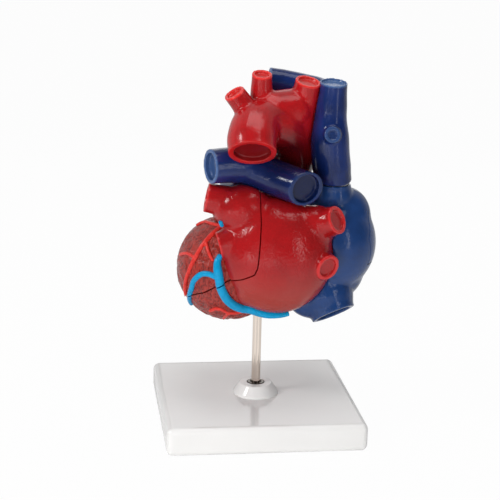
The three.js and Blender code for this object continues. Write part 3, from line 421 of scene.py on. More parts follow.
def changed(thing, kind, **settings):
    """Adds one modifier and applies it."""
    alone(thing)
    step = thing.modifiers.new(kind.lower(), kind)
    for name, value in settings.items():
        setattr(step, name, value)
    bpy.ops.object.modifier_apply(modifier=step.name)
    return thing


def remeshed(thing, voxel):
    """One even skin, in steps of a given size."""
    return changed(thing, "REMESH", mode="VOXEL", voxel_size=voxel * MM)


def smoothed(thing, passes):
    """Evens out bumps and creases, a number of times."""
    return changed(thing, "SMOOTH", factor=0.5, iterations=passes)


def melted(things, name, voxel=1.6, passes=24):
    """Several forms as one, with the creases between them filled."""
    return smoothed(remeshed(joined(things, name), voxel), passes)


def cut(thing, *tools):
    """Takes each tool's form out of a thing."""
    for tool in tools:
        changed(thing, "BOOLEAN", operation="DIFFERENCE", solver="MANIFOLD", object=tool)
    return thing


def kept_in(thing, tool):
    """What of a thing lies inside a tool."""
    return changed(thing, "BOOLEAN", operation="INTERSECT", solver="MANIFOLD", object=tool)


def copy_of(thing, name="copy"):
    """A copy with a mesh of its own."""
    alone(thing)
    bpy.ops.object.duplicate()
    bpy.context.object.name = name
    return bpy.context.object


def grown(thing, by):
    """A copy whose skin stands off by a distance."""
    return changed(copy_of(thing), "DISPLACE", strength=by * MM, mid_level=0.0)


def triangles(thing):
    """How many triangles its faces come to."""
    return sum(len(face.vertices) - 2 for face in thing.data.polygons)


def moulded(thing, voxel=1.0, passes=2):
    """The skin of a moulding: even, with its edges a little rounded."""
    return smoothed(remeshed(thing, voxel), passes)


def done(thing, name, sharp=SHARP):
    """Names a finished piece and shades it smooth, except over its sharp edges."""
    alone(thing)
    thing.name = name
    bpy.ops.object.shade_smooth_by_angle(angle=math.radians(sharp))
    print(name, triangles(thing), "triangles")
    return thing


# %% [markdown]
# The muscle of the two lower chambers is a thick cone on the left with a thinner bulge wrapped round it.
# A short funnel rises from the bulge to the lung trunk. The skin of the real casting isn't smooth: it is
# textured with low folds, which are pushed out of the mesh here, so that the light finds them.

# %% The muscle's outer form
TRUNK_HEIGHT = 200
LEFT_CONE = ((-25.5, 7, 142), 47, (-38, 48, 114), 23)
RIGHT_BULGE = ((9, 36, 134), (52, 38, 44))
OUTFLOW = ((12, 42, 164), 19, (-9, 45, 196), 15.4)

FOLD_WIDTH, FOLD_HEIGHT, FOLD_LEVEL = 7.0, 1.3, 0.6  # a fold rises where its pattern is above the level

muscle_form = melted([round_cone(*LEFT_CONE), egg(*RIGHT_BULGE), round_cone(*OUTFLOW)], "muscle_form")
smooth_muscle = copy_of(muscle_form, "smooth_muscle")
folds = bpy.data.textures.new("muscle folds", "MUSGRAVE")
folds.musgrave_type = "RIDGED_MULTIFRACTAL"
folds.noise_scale = FOLD_WIDTH * MM
remeshed(muscle_form, voxel=1.1)
changed(muscle_form, "DISPLACE", texture=folds, strength=FOLD_HEIGHT * MM, mid_level=FOLD_LEVEL)
smoothed(muscle_form, passes=3)
print("muscle", triangles(muscle_form), "triangles")

# %% [markdown]
# Inside are two hollows. The left one is a narrow egg under its inlet valve, the right one a crescent that
# follows the wall, and a small muscle stands in each. Both are forms of their own that are cut out later,
# with the round bores that hold the valves and the socket of the rod.

# %% The chambers inside the muscle
RIGHT_WALL = 7  # the right chamber's, thinner than the left one's
MITRAL = ((7, -18.5, 159), (-0.66, 0.74, -0.13), 13)
TRICUSPID = ((46, 14, 154), (-0.75, 0.55, -0.37), 13.5)
BORE_BEFORE, BORE_AFTER = 10, 15.35  # how far a valve's bore runs out of the muscle and into it
INFLOW_REACH = 12  # from the left inlet valve's middle into its chamber
ROOT_AXIS, ROOT_RADIUS, ROOT_BORE = (18, 13), 17, 12.6  # the aorta's first stretch, which stands upright
TRUNK_BORE = 11
SOCKET_RADIUS, SOCKET_TOP = 6.65, 136


def valve_bore(centre, way, radius):
    """The round hole that holds a valve's ring."""
    foot = Vector(centre) - BORE_BEFORE * Vector(way)
    return disc(radius, BORE_BEFORE + BORE_AFTER, foot, way)


mitral_bore = valve_bore(*MITRAL)
tricuspid_bore = valve_bore(*TRICUSPID)
inlet = Vector(MITRAL[0]) + INFLOW_REACH * Vector(MITRAL[1])
left_hollow = melted([
    round_cone((-32, 14, 147), 21, (-41, 42, 116), 10),
    round_cone((-32, 14, 147), 19, inlet, 13),
    copy_of(mitral_bore),
    vessel([(-24, 12, 158), (-4, 12, 166), (*ROOT_AXIS, 174), (*ROOT_AXIS, 197)], [14, 12, ROOT_BORE, ROOT_BORE]),
], "left_hollow", passes=10)
cut(left_hollow, vessel([(-38, 8, 124), (-35, 5, 131), (-31, 3, 139)], [6, 4.5, 3]))
crescent = egg(RIGHT_BULGE[0], [r - RIGHT_WALL for r in RIGHT_BULGE[1]])
cut(crescent, round_cone(*LEFT_CONE))
right_hollow = melted([
    crescent,
    vessel([(12, 42, 164), (1.5, 43.5, 180), (-9, 45, 201)], [14, TRUNK_BORE, TRUNK_BORE]),
    copy_of(tricuspid_bore),
], "right_hollow", passes=8)
cut(right_hollow, vessel([(35, 19, 106), (34, 19, 116), (33, 20, 124)], [6, 4.2, 2.6]))
socket_bore = disc(SOCKET_RADIUS, SOCKET_TOP, (0, 0, 0), (0, 0, 1))
print("hollows", triangles(left_hollow), triangles(right_hollow), "triangles")

# %% [markdown]
# The heart opens along seams. A seam could be a flat saw cut, but the real one swings up from the tip to
# the great vessels, so its outline is a curve drawn through the whole heart. What lies on one side of the
# prism is the part, and a second prism, a little larger, leaves the gap in its neighbour.

# %% The seams
SEAM_GAP = 0.6  # between the parts as they are made
PROUD = 0.15  # how far a cut face is drawn back behind its magnets
SEAM_LINE = SEAM_GAP + PROUD
SEAM_CURVE = [(-68, 114), (-65, 121.6), (-54, 128.2), (-42, 137), (-33, 142.1), (-22, 146.5)]
ATRIUM_SEAM = [(-12, 152.5), (-9.6, 158.6), (-8.2, 174), (-6.1, 198.5), (-4.9, 240)]
MUSCLE_SEAM = [(-7, 155.5), (-7, 240)]
FRONT_PLANE, FRONT_TOP = 30, 172  # y of the front wall's cut face and z of its top
RIGHT_SEAM_HEIGHT, RIGHT_TOP = 151, 217  # z, where the right atrium's outer wall starts and ends
RIGHT_BACK_SEAM = [(-22, 0), (-22, 151), (-25, 175), (-5, 208), (-5, 260)]  # y and z
RIGHT_INNER_SEAM = [(44, 151), (44, 178), (8, 178), (8, 214), (52, 214), (62, 217)]  # x and z


def left_region(upper, front, gap):
    """All that comes off to the left, grown or shrunk by a gap."""
    outline = SEAM_CURVE + upper + [(-FAR, upper[-1][1]), (-FAR, SEAM_CURVE[0][1])]
    return prism([(x + gap, z - gap) for x, z in outline], "Y", -FAR, front)


def front_region(start, top):
    """All that comes off to the front."""
    return prism([(-FAR, 0), (FAR, 0), (FAR, top), (-FAR, top)], "Y", start, FAR)


def right_region(gap):
    """All that comes off to the right, grown or shrunk by a gap."""
    middle = (RIGHT_SEAM_HEIGHT + RIGHT_TOP) / 2
    inner = [(x - gap, z - gap if z < middle else z + gap) for x, z in RIGHT_INNER_SEAM]
    side = prism(inner + [(FAR, RIGHT_TOP + gap), (FAR, RIGHT_SEAM_HEIGHT - gap)], "Y", -FAR, FAR)
    back_cut = [(y - gap, z) for y, z in RIGHT_BACK_SEAM] + [(FAR, 2 * FAR), (FAR, 0)]
    return kept_in(side, prism(back_cut, "X", -FAR, FAR))


left_muscle = left_region(MUSCLE_SEAM, FRONT_PLANE - SEAM_LINE, -PROUD)
left_muscle_gap = left_region(MUSCLE_SEAM, FRONT_PLANE, SEAM_LINE)
left_dome = left_region(ATRIUM_SEAM, FAR, -PROUD)
left_dome_gap = left_region(ATRIUM_SEAM, FAR, SEAM_LINE)
front_part = front_region(FRONT_PLANE + PROUD, FRONT_TOP - SEAM_GAP)
front_gap = front_region(FRONT_PLANE - SEAM_LINE, FRONT_TOP - SEAM_LINE)
right_part = right_region(-PROUD)
right_gap = right_region(SEAM_LINE)
print("seams of", len(SEAM_CURVE + MUSCLE_SEAM), "and", len(SEAM_CURVE + ATRIUM_SEAM), "points on the left")

# %% [markdown]
# The muscle comes out of the same block three times: the core that stays on the rod, the left wall and the
# front wall. Copying the finished block and then cutting each copy keeps the three skins in line at the seams.

# %% The three parts of the muscle
cut(muscle_form, above(TRUNK_HEIGHT), left_hollow, right_hollow, socket_bore)
moulded(muscle_form)
ventricle_core = done(cut(copy_of(muscle_form), left_muscle_gap, front_gap), "muscle_core")
left_wall = done(kept_in(copy_of(muscle_form), left_muscle), "muscle_left_wall")
front_wall = done(kept_in(copy_of(muscle_form), front_part), "muscle_front_wall")

# %% [markdown]
# The aorta leaves the muscle as a straight root, bends back over the heart in a broad arch and ends in a
# wide cut mouth. Three branches rise from its top. Each vessel is a curve with a changing radius, drawn on
# past its end, so that the melting rounds only what is then sawn off. The ends are shallow round recesses,
# because the real castings are only hollowed where one looks in.

# %% The aorta
VESSEL_WALL, THIN_WALL, STUB_WALL, AORTA_RIM = 4.4, 2.8, 3.4, 5
MOUTH_DEPTH, SHALLOW_DEPTH = 5, 2.5
PAST = 9  # how far a vessel is drawn past its cut end
SAW_WIDER, SAW_LONGER = 6, 8  # than the piece that it takes off
ROOT_FOOT, ROOT_TOP = 150, 196
TOUCH = 0.35  # between two castings that lie on each other
ARCH = (
    [(*ROOT_AXIS, ROOT_TOP), (27.8, 16, 226), (30, 11, 250), (15, -6, 270), (-6, -22, 276), (-14, -38, 267),
     (-15, -48, 256)],
    [ROOT_RADIUS, 18.9, 20, 20.5, 21, 21.3, 20.6],
)
ARCH_BRANCHES = [
    ([(27, 0, 264), (34.5, -2.5, 290), (38, -6.5, 311)], [16.5, 12.6, 11.4]),
    ([(-3, -14, 272), (-3, -9, 295), (-3, -9.5, 317.5)], [14, 9.8, 8.8]),
    ([(-12, -26, 272), (-19, -22, 290), (-28, -18, 302.5)], [13, 9.8, 9.4]),
]
ARCH_SADDLE = ((6, -11, 286), 17, (24, -4, 286), 18)


def sawn(part, wall, depth, bright, dark, way=None):
    """A cut end: its place, the way it looks, its wall and depth, how bright its ring and how dark the painted shade
    in its hollow is.
    """
    route, radii = part
    way = Vector(way).normalized() if way else end_way(route)
    return dict(place=Vector(route[-1]), way=way, radius=radii[-1], wall=wall, depth=depth, bright=bright, dark=dark)


BRANCH_WAYS = [(0.14, -0.3, 0.94), (0, -0.3, 0.95), (-0.55, -0.15, 0.82)]
ARCH_ENDS = [sawn(ARCH, AORTA_RIM, MOUTH_DEPTH, bright=0.2, dark=0.9, way=(-0.07, -0.63, -0.775))] + [
    sawn(branch, THIN_WALL, SHALLOW_DEPTH, bright=1.0, dark=0.15, way=way)
    for branch, way in zip(ARCH_BRANCHES, BRANCH_WAYS)
]


def flat_ends(thing, ends):
    """Saws each vessel off at its last point."""
    for end in ends:
        cut(thing, disc(end["radius"] + SAW_WIDER, PAST + SAW_LONGER, end["place"], end["way"]))
    return thing


def open_ends(thing, ends):
    """Hollows each vessel's end."""
    for end in ends:
        start = end["place"] + end["way"] * CLEAR
        cut(thing, disc(end["radius"] - end["wall"], end["depth"] + CLEAR, start, -end["way"]))
    return thing


def upright_bar(radius, foot, top):
    """A bar round the axis of the aorta's root."""
    return disc(radius, top - foot, (*ROOT_AXIS, foot), (0, 0, 1))


arch_form = melted([vessel(*part, PAST) for part in [ARCH] + ARCH_BRANCHES] + [round_cone(*ARCH_SADDLE)],
                   "arch_form", voxel=1.1, passes=8)
flat_ends(arch_form, ARCH_ENDS)
arch_grown = grown(arch_form, SEAM_GAP)
arch_bore = vessel([(*ROOT_AXIS, 190)] + ARCH[0][:6], [ROOT_BORE, ROOT_BORE, 13.9, 15.6, 16.1, 16.6, 16.9])
aortic_arch = open_ends(cut(arch_form, arch_bore, below(ROOT_TOP + SEAM_LINE)), ARCH_ENDS)
done(moulded(aortic_arch, voxel=0.8), "aorta_arch")

root_outer = upright_bar(ROOT_RADIUS + TOUCH, ROOT_FOOT, ROOT_TOP + SEAM_GAP)
aortic_root = upright_bar(ROOT_RADIUS, ROOT_FOOT, ROOT_TOP - PROUD)
cut(aortic_root, smooth_muscle, tricuspid_bore, upright_bar(ROOT_BORE, ROOT_FOOT - CLEAR, ROOT_TOP + CLEAR))
done(moulded(aortic_root, voxel=0.8), "aorta_root")

# %% [markdown]
# The lung trunk climbs from the right chamber, passes beside the aorta and forks under its arch into one
# artery for each lung. Real castings of neighbouring vessels touch without a gap to see through, so the
# trunk is cut by a slightly swollen copy of the arch instead of being bent round it.

# %% The lung arteries
LUNG_TRUNK = ([(-9, 45, TRUNK_HEIGHT), (-18, 37, 217), (-21, 16, 233), (-12, -12, 238)], [15, 15.5, 16, 16])
LEFT_LUNG = ([(-6, -14, 238), (-28, -19, 240), (-48, -25, 240)], [16, 15.4, 15])
RIGHT_LUNG = ([(-14, -14, 238), (12, -26, 229), (32.4, -46, 224.5)], [16, 15.8, 15.4])
LUNG_ENDS = [
    sawn(LEFT_LUNG, STUB_WALL, MOUTH_DEPTH, bright=0.65, dark=0.2),
    sawn(RIGHT_LUNG, STUB_WALL * 0.8, MOUTH_DEPTH, bright=0.08, dark=0.8, way=(0.35, -0.92, -0.15)),
]

lung_form = melted([vessel(*LUNG_TRUNK), vessel(*LEFT_LUNG, PAST), vessel(*RIGHT_LUNG, PAST)],
                   "lung_form", voxel=1.1, passes=8)
flat_ends(lung_form, LUNG_ENDS)
lungs_grown = grown(lung_form, SEAM_GAP)
trunk_bore = vessel([(-9, 45, 195)] + LUNG_TRUNK[0][:3] + [(-15, -4, 236.5)], [10.6, 10.6, 11.1, 11.6, 11.6])
cut(lung_form, arch_grown, below(TRUNK_HEIGHT + SEAM_LINE), trunk_bore)
lung_arteries = done(moulded(open_ends(lung_form, LUNG_ENDS), voxel=0.8), "lung_trunk_and_arteries")

# %% [markdown]
# The left atrium is the dome that faces the camera. Its two upper corners are drawn up where the lung veins
# enter, and the four veins are cut off short. The body is melted first and smoothed a good deal. The stubs
# are added after that and smoothed less, so that they keep their round section.

# %% The left atrium
ATRIUM_WALL = 5
THINNER = 1.5  # than the stub, so that only the body is swollen by it
LEFT_ATRIUM = ((12, -26, 161), (50, 36, 52))
LEFT_SWELLINGS = [
    ((-19, -24, 202.5), (26, 20, 21.5)), ((44, -34, 190), (20, 16, 18)), ((-13, -27, 139), (18, 19.5, 23.5)),
]
LEFT_AURICLE = ((-29, 7, 191), (13, 22, 11))
VEIN_STUBS = [
    ([(-8, -23, 203), (-28, -22, 207.5), (-50.5, -20, 212)], [17, 14, 12.8]),
    ([(-8, -28, 175), (-25, -30, 175.5), (-40, -30, 171.5)], [18, 13.5, 12]),
    ([(36, -30, 184), (50, -37.5, 192), (60.5, -47, 197.8)], [18, 14, 12.4]),
    ([(36, -32, 164), (47.5, -42.5, 159), (52.8, -53, 156.6)], [16, 12.5, 11.6]),
]
STUB_ENDS = [sawn(stub, STUB_WALL, SHALLOW_DEPTH, bright=1.0, dark=0.4) for stub in VEIN_STUBS]
muscle_grown = grown(smooth_muscle, TOUCH)


def root_of(route, radii):
    """The first half of a stub, a little thinner, which melts into the body."""
    return round_cone(route[0], radii[0] - THINNER, route[1], radii[1] - THINNER)


left_body = melted([egg(*part) for part in [LEFT_ATRIUM, LEFT_AURICLE] + LEFT_SWELLINGS]
                   + [root_of(*stub) for stub in VEIN_STUBS], "left_atrium_body", voxel=1.8, passes=22)
left_form = melted([left_body] + [vessel(*stub, PAST) for stub in VEIN_STUBS],
                   "left_atrium_form", voxel=1.1, passes=6)
flat_ends(left_form, STUB_ENDS)
left_shell = copy_of(left_form, "left_atrium_shell")
left_chamber = egg(LEFT_ATRIUM[0], [r - ATRIUM_WALL for r in LEFT_ATRIUM[1]])
cut(left_shell, muscle_grown, root_outer, arch_grown, lungs_grown, tricuspid_bore, left_chamber)
moulded(open_ends(left_shell, STUB_ENDS), voxel=0.9)
left_atrium_back = done(cut(copy_of(left_shell), left_dome_gap), "left_atrium_dome")
left_atrium_wall = done(kept_in(left_shell, left_dome), "left_atrium_outer_wall")

# %% [markdown]
# The right atrium is a rounded sac, made of one large egg and three swellings. The upper hollow vein enters
# its top through a short neck, and a small ear reaches forward round the aorta. Its lower end runs out into
# the stub of the lower hollow vein, and one saw cut takes off the stub and the sac's tip together.

# %% The right atrium
CAVA_FOOT = (64, -8, 221)  # where the upper hollow vein parts from the atrium
RIGHT_ATRIUM = ((65, 0, 166), (40, 38, 45))
RIGHT_SWELLINGS = [
    ((75.5, 0, 190), (24, 24, 26.5)), ((71, 2, 140), (25, 24, 27)), ((50, -6, 114.5), (24, 20, 17.5)),
]
NECK = ([(66, -2, 194), (65, -6, 208), CAVA_FOOT], [23, 17, 14.4])
LOWER_CAVA = ([(52, -4, 132), (60, -10, 119), (66, -18, 104)], [28, 25, 20])
CAVA_END = [sawn(LOWER_CAVA, VESSEL_WALL, MOUTH_DEPTH, bright=0.1, dark=0.5)]
RIGHT_AURICLE = ((58, 14, 188), 18, (27, 38, 197), 10)

right_body = melted([egg(*part) for part in [RIGHT_ATRIUM] + RIGHT_SWELLINGS]
                    + [round_cone(*RIGHT_AURICLE), root_of(*NECK), root_of(*LOWER_CAVA)],
                    "right_atrium_body", voxel=1.8, passes=18)
right_form = melted([right_body, vessel(*NECK, PAST), vessel(*LOWER_CAVA, PAST)],
                    "right_atrium_form", voxel=1.1, passes=6)
tip_saw = disc(FAR / 2, FAR / 4, LOWER_CAVA[0][-1], end_way(LOWER_CAVA[0]))
cut(right_form, above(CAVA_FOOT[2] - PROUD), tip_saw)
right_shell = copy_of(right_form, "right_atrium_shell")
right_chamber = egg(RIGHT_ATRIUM[0], [r - ATRIUM_WALL for r in RIGHT_ATRIUM[1]])
neck_bore = vessel([(66, -2, 190)] + NECK[0][1:] + [(64, -8, 225)], [18.6, 12.6, 10, 10])
ear, ear_radius, ear_tip, tip_radius = RIGHT_AURICLE
ear_bore = round_cone(ear, ear_radius - ATRIUM_WALL, ear_tip, tip_radius - ATRIUM_WALL)
cut(right_shell, muscle_grown, root_outer, arch_grown, lungs_grown, tricuspid_bore)
cut(right_shell, grown(left_form, TOUCH), right_chamber, neck_bore, ear_bore)
moulded(open_ends(right_shell, CAVA_END), voxel=0.9)
right_atrium_back = done(cut(copy_of(right_shell), right_gap), "right_atrium_inner")
right_atrium_wall = done(kept_in(right_shell, right_part), "right_atrium_outer_wall")

# %% [markdown]
# The upper hollow vein stands straight up from the right atrium. The vein of the left arm joins it in front
# of the aorta, and a short stub sticks out of its back. It lifts off together with the arch and the lung
# arteries, so its foot has the same parting gap as theirs.

# %% The upper hollow vein
UPPER_CAVA = (
    [CAVA_FOOT, (60.4, -9, 238), (58.2, -10, 258), (58, -9.5, 286), (59.3, -11.5, 311)],
    [15.6, 17.2, 17, 14, 12],
)
ARM_VEIN = ([(57, -7, 296), (51, 12, 299.5), (38, 20, 302), (22.6, 25, 305), (7.5, 26, 307.5)],
            [12.5, 12, 11.8, 11.4, 11])
BACK_STUB = ([(57.5, -16, 266), (57, -24, 267.3), (56.6, -29.5, 268.3)], [9.5, 7.8, 7.2])
VEIN_ENDS = [
    sawn(UPPER_CAVA, THIN_WALL / 2, SHALLOW_DEPTH, bright=0.8, dark=0.0, way=(0.02, -0.16, 0.98)),
    sawn(ARM_VEIN, THIN_WALL, SHALLOW_DEPTH, bright=0.8, dark=0.3),
    sawn(BACK_STUB, THIN_WALL, SHALLOW_DEPTH / 2, bright=0.3, dark=0.4),
]

upper_cava = melted([vessel(*part, PAST) for part in (UPPER_CAVA, ARM_VEIN, BACK_STUB)],
                    "upper_vein_form", voxel=1.1, passes=6)
flat_ends(upper_cava, VEIN_ENDS)
cava_bore = vessel([(64, -8, 216)] + UPPER_CAVA[0][:4] + [(58.5, -10.3, 297)], [11.2, 11.2, 12, 12.2, 9.6, 8.6])
cut(upper_cava, arch_grown, below(CAVA_FOOT[2] + SEAM_LINE), cava_bore)
done(moulded(open_ends(upper_cava, VEIN_ENDS), voxel=0.8), "upper_hollow_vein_tube")

# %% [markdown]
# The heart's own vessels lie on its skin. Their routes are drawn roughly in space and then shrunk onto the
# skin underneath, which no hand-placed list of points would follow as well. The line then becomes a curve,
# and its round section is half sunk into the skin, so that the vessel stands up as a cord.

# %% Laying a vessel on the skin
POINTS_PER_STRETCH = 6

heart_skin = melted([copy_of(smooth_muscle), copy_of(left_form), copy_of(right_form)],
                    "heart_skin", voxel=1.4, passes=3)
print("skin to lay them on:", triangles(heart_skin), "triangles")


def line_through(route):
    """A rough route as a fine open line of edges, bent smoothly through its points."""
    bpy.ops.object.select_all(action="DESELECT")
    bpy.ops.curve.primitive_bezier_curve_add()
    line = bpy.context.object
    line.data.resolution_u = POINTS_PER_STRETCH
    spline = line.data.splines[0]
    spline.bezier_points.add(len(route) - 2)
    for point, place in zip(spline.bezier_points, route):
        point.co = Vector(place) * MM
        point.handle_left_type = point.handle_right_type = "AUTO"
    bpy.ops.object.convert(target="MESH")
    return bpy.context.object


def skin_vessel(route, radii, lift, skin_form):
    """A cord that follows the skin, its radius eased along it."""
    line = line_through(route)
    changed(line, "SHRINKWRAP", target=skin_form, wrap_method="NEAREST_SURFACEPOINT", wrap_mode="ABOVE_SURFACE",
            offset=lift * MM)
    smoothed(line, passes=2)
    bpy.ops.object.convert(target="CURVE")
    line.data.bevel_depth = MM
    line.data.bevel_resolution = 4
    line.data.use_fill_caps = True
    points = line.data.splines[0].points
    for i, point in enumerate(points):
        share = i / (len(points) - 1) * (len(radii) - 1)
        low = min(int(share), len(radii) - 2)
        point.radius = radii[low] + (radii[low + 1] - radii[low]) * (share - low)
    bpy.ops.object.convert(target="MESH")
    return closed(bpy.context.object)


# %% [markdown]
# The veins are wide and lie high, the arteries thin and low. On the back their routes are those of the model,
# and on the front they follow the usual anatomy. A vessel that crosses a seam is made once and cut there twice,
# once for each side, so that it runs on unbroken when the heart is closed.

# %% The vessels on the skin
GREAT_VEIN = [(-40, -38, 165), (-39.5, -31, 155), (-38, -32, 146), (-35.5, -31, 136), (-29, -30, 125),
              (-16, -32, 114.5), (-2, -35, 108.5), (12, -37, 106.5), (24, -35, 109)]
VEIN_BETWEEN_STUBS = [(-35.5, -31, 197), (-36, -31, 190)]
BACK_VEIN = [(-38, -32, 144), (-48, -27, 146.5), (-55, -21, 140), (-57.5, -17, 131), (-58, -8, 121), (-57, 0, 112)]
CROWN_ARTERY = [(-35, -13, 184), (-42, -15, 177), (-50, -18, 168), (-56, -19, 157), (-60, -16, 144),
                (-62, -9, 129), (-61, -2, 117)]
UPPER_BRANCH = [(-35, -13, 184), (-44, -3, 185), (-49, 8, 184), (-55, 16, 178)]
LEFT_BRANCH = [(-56, -19, 157), (-62, -9, 158), (-67, 2, 154)]
INNER_BRANCH = [(-48, -18, 170), (-46, -24, 163), (-42, -29, 156)]
LOWER_ARTERY = [(-44, -18, 113), (-37, -25, 117), (-29.5, -25, 111.5), (-19, -27, 110.5), (-11, -30, 112)]
LOWER_BRANCH = [(-29.5, -25, 111.5), (-31.5, -20, 106), (-32.5, -14, 100)]
FRONT_ARTERY = [(-16, 60, 169), (-22, 66, 156), (-30, 68, 140), (-36, 68, 124), (-38, 66, 108)]
FRONT_BRANCH = [(-24, 66, 152), (-42, 52, 142), (-52, 42, 130)]
FRONT_VEIN = [(-22, 60, 168), (-29, 64, 154), (-37, 64, 138), (-43, 62, 122)]
RIGHT_ARTERY = [(40, 56, 165), (52, 48, 152), (58, 38, 138), (57, 38, 122), (46, 44, 107)]
GREAT_LIFT, VEIN_LIFT, THIN_VEIN_LIFT = 1.8, 0.8, 0.7  # how far the middle line lies above the skin
SPOT_LIFT, ARTERY_LIFT, TWIG_LIFT = 0.6, 0.6, 0.5
ARTERY_RADII, TWIG_RADII = [2.3, 2], [1.7, 1.4]

great_vein = skin_vessel(GREAT_VEIN, [2.4, 4.1, 4.1, 4, 3.5, 2], GREAT_LIFT, heart_skin)
vein_spot = skin_vessel(VEIN_BETWEEN_STUBS, [2, 2], SPOT_LIFT, heart_skin)
back_vein_line = skin_vessel(BACK_VEIN, [2.6, 2.6, 2.4, 1.8], VEIN_LIFT, heart_skin)
crown = skin_vessel(CROWN_ARTERY, [2.3, 2, 1.7], ARTERY_LIFT, heart_skin)
twigs = [skin_vessel(route, TWIG_RADII, TWIG_LIFT, heart_skin)
         for route in (UPPER_BRANCH, LEFT_BRANCH, INNER_BRANCH)]
lower_twigs = [skin_vessel(route, TWIG_RADII, TWIG_LIFT, heart_skin) for route in (LOWER_ARTERY, LOWER_BRANCH)]
front_twigs = [skin_vessel(FRONT_ARTERY, ARTERY_RADII, ARTERY_LIFT, smooth_muscle),
               skin_vessel(FRONT_BRANCH, TWIG_RADII, TWIG_LIFT, smooth_muscle)]
front_vein_line = skin_vessel(FRONT_VEIN, [2.6, 2.2], THIN_VEIN_LIFT, smooth_muscle)
right_artery_line = skin_vessel(RIGHT_ARTERY, ARTERY_RADII, ARTERY_LIFT, smooth_muscle)


def cord_skin(things, name, inside=None, outside=None):
    """One even skin over a tree of small vessels, cut where a seam crosses it."""
    tree_form = melted(things, name, voxel=0.45, passes=3)
    if inside:
        kept_in(tree_form, inside)
    if outside:
        cut(tree_form, outside)
    return done(tree_form, name)


skin_vessels = {
    "great_cardiac_vein": cord_skin(
        [copy_of(great_vein), copy_of(back_vein_line), vein_spot], "vein_on_left_wall", inside=left_muscle),
    "coronary_sinus": cord_skin([great_vein], "vein_round_atrium", outside=left_muscle_gap),
    "back_vein": cord_skin([back_vein_line], "vein_on_core", outside=left_muscle_gap),
    "crown_artery": cord_skin([crown] + twigs, "artery_on_left_wall", inside=left_muscle),
    "lower_artery": cord_skin(lower_twigs, "artery_on_core"),
    "front_artery": cord_skin(front_twigs, "artery_on_front_wall", inside=front_part),
    "front_vein": cord_skin([front_vein_line], "vein_on_front_wall", inside=front_part),
    "right_artery": cord_skin([right_artery_line], "artery_round_right_side", inside=front_part),
}

# %% [markdown]
# The base is one injection moulding: a square tray turned over, with softly rounded edges. Each upright corner
# has a wide round and the top edge a narrow one. One bevel can't do both, so the edges are picked by how they
# lie, and each group gets its own width.

# %% A block with rounded edges
SAME_HEIGHT = 0.01  # two heights this near count as one


def bevel_edges(thing, chosen, width, segments):
    """Bevels the edges whose two ends pass a test."""
    alone(thing)
    bpy.ops.object.mode_set(mode="EDIT")
    bpy.ops.mesh.select_all(action="DESELECT")
    bpy.ops.object.mode_set(mode="OBJECT")
    points = thing.data.vertices
    for line in thing.data.edges:
        line.select = chosen(*[points[i].co for i in line.vertices])
    bpy.ops.object.mode_set(mode="EDIT")
    bpy.ops.mesh.select_mode(type="EDGE")
    bpy.ops.mesh.bevel(offset=width * MM, segments=segments)
    bpy.ops.object.mode_set(mode="OBJECT")


def rounded_block(size, foot, top, corner, edge=0.0):
    """A square block with round upright corners and, if wanted, a round top edge."""
    bpy.ops.object.select_all(action="DESELECT")
    bpy.ops.mesh.primitive_cube_add(size=1, location=(0, 0, (foot + top) / 2 * MM))
    block = bpy.context.object
    block.scale = Vector((size, size, top - foot)) * MM
    bpy.ops.object.transform_apply(location=True, rotation=True, scale=True)
    bevel_edges(block, lambda a, b: abs(a.z - b.z) > MM, corner, segments=8)
    if edge:
        bevel_edges(block, lambda a, b: min(a.z, b.z) > (top - SAME_HEIGHT) * MM, edge, segments=5)
    return block


# %% [markdown]
# The collar, the rod and the washer are round. A cylinder would give them sharp edges, and a bevel on each
# would have to be told apart again, so their profiles are drawn with the rounding in them and spun once round.

# %% Turned forms
def spun(profile, sides=96):
    """A profile of radius and height, spun once round the rod's axis."""
    bpy.ops.object.select_all(action="DESELECT")
    bpy.ops.mesh.primitive_circle_add(vertices=len(profile), radius=MM, fill_type="NOTHING")
    turning = bpy.context.object
    for point, (radius, height) in zip(turning.data.vertices, profile):
        point.co = Vector((radius, 0, height)) * MM
    bpy.ops.object.mode_set(mode="EDIT")
    bpy.ops.mesh.select_all(action="SELECT")
    bpy.ops.mesh.spin(steps=sides, angle=2 * math.pi, center=(0, 0, 0), axis=(0, 0, 1))
    bpy.ops.mesh.select_all(action="SELECT")
    bpy.ops.mesh.remove_doubles(threshold=0.01 * MM)
    bpy.ops.mesh.normals_make_consistent(inside=False)
    bpy.ops.object.mode_set(mode="OBJECT")
    return turning


def rounded(corners, radius, steps=4):
    """A profile with its corners rounded off."""
    points = []
    for i, here in enumerate(corners):
        before, after = corners[i - 1], corners[(i + 1) % len(corners)]
        here, before, after = Vector(here), Vector(before), Vector(after)
        reach = min(radius, (before - here).length / 2, (after - here).length / 2)
        start = here + (before - here).normalized() * reach
        end = here + (after - here).normalized() * reach
        for k in range(steps + 1):
            t = k / steps
            points.append(start * (1 - t) ** 2 + here * 2 * t * (1 - t) + end * t ** 2)
    return points


# %% [markdown]
# A low cone in the middle of the base holds the rod. Underneath the tray is hollow. Rather than adding ribs to
# a hollow, the hollow itself is divided: ribs and a boss are taken out of one block, and what is left, four
# bays, is taken out of the base.

# %% The base
BASE, BASE_TOP, CORNER, EDGE = 175, 25, 5.5, 1.4
WALL, RIB, RIB_FOOT, BOSS = 3, 2.5, 6, 12
COLLAR, COLLAR_TOP, COLLAR_HEIGHT, COLLAR_RIM = 20.5, 14.5, 10, 1.5
COLLAR_SUNK, COLLAR_HOLE, COLLAR_ROUND = 1.5, 3, 0.8
ROD_HOLE, ROD_HOLE_FOOT = 4.35, 7.65
SEAT_RADIUS, SEAT_DEPTH = 8.3, 1.45

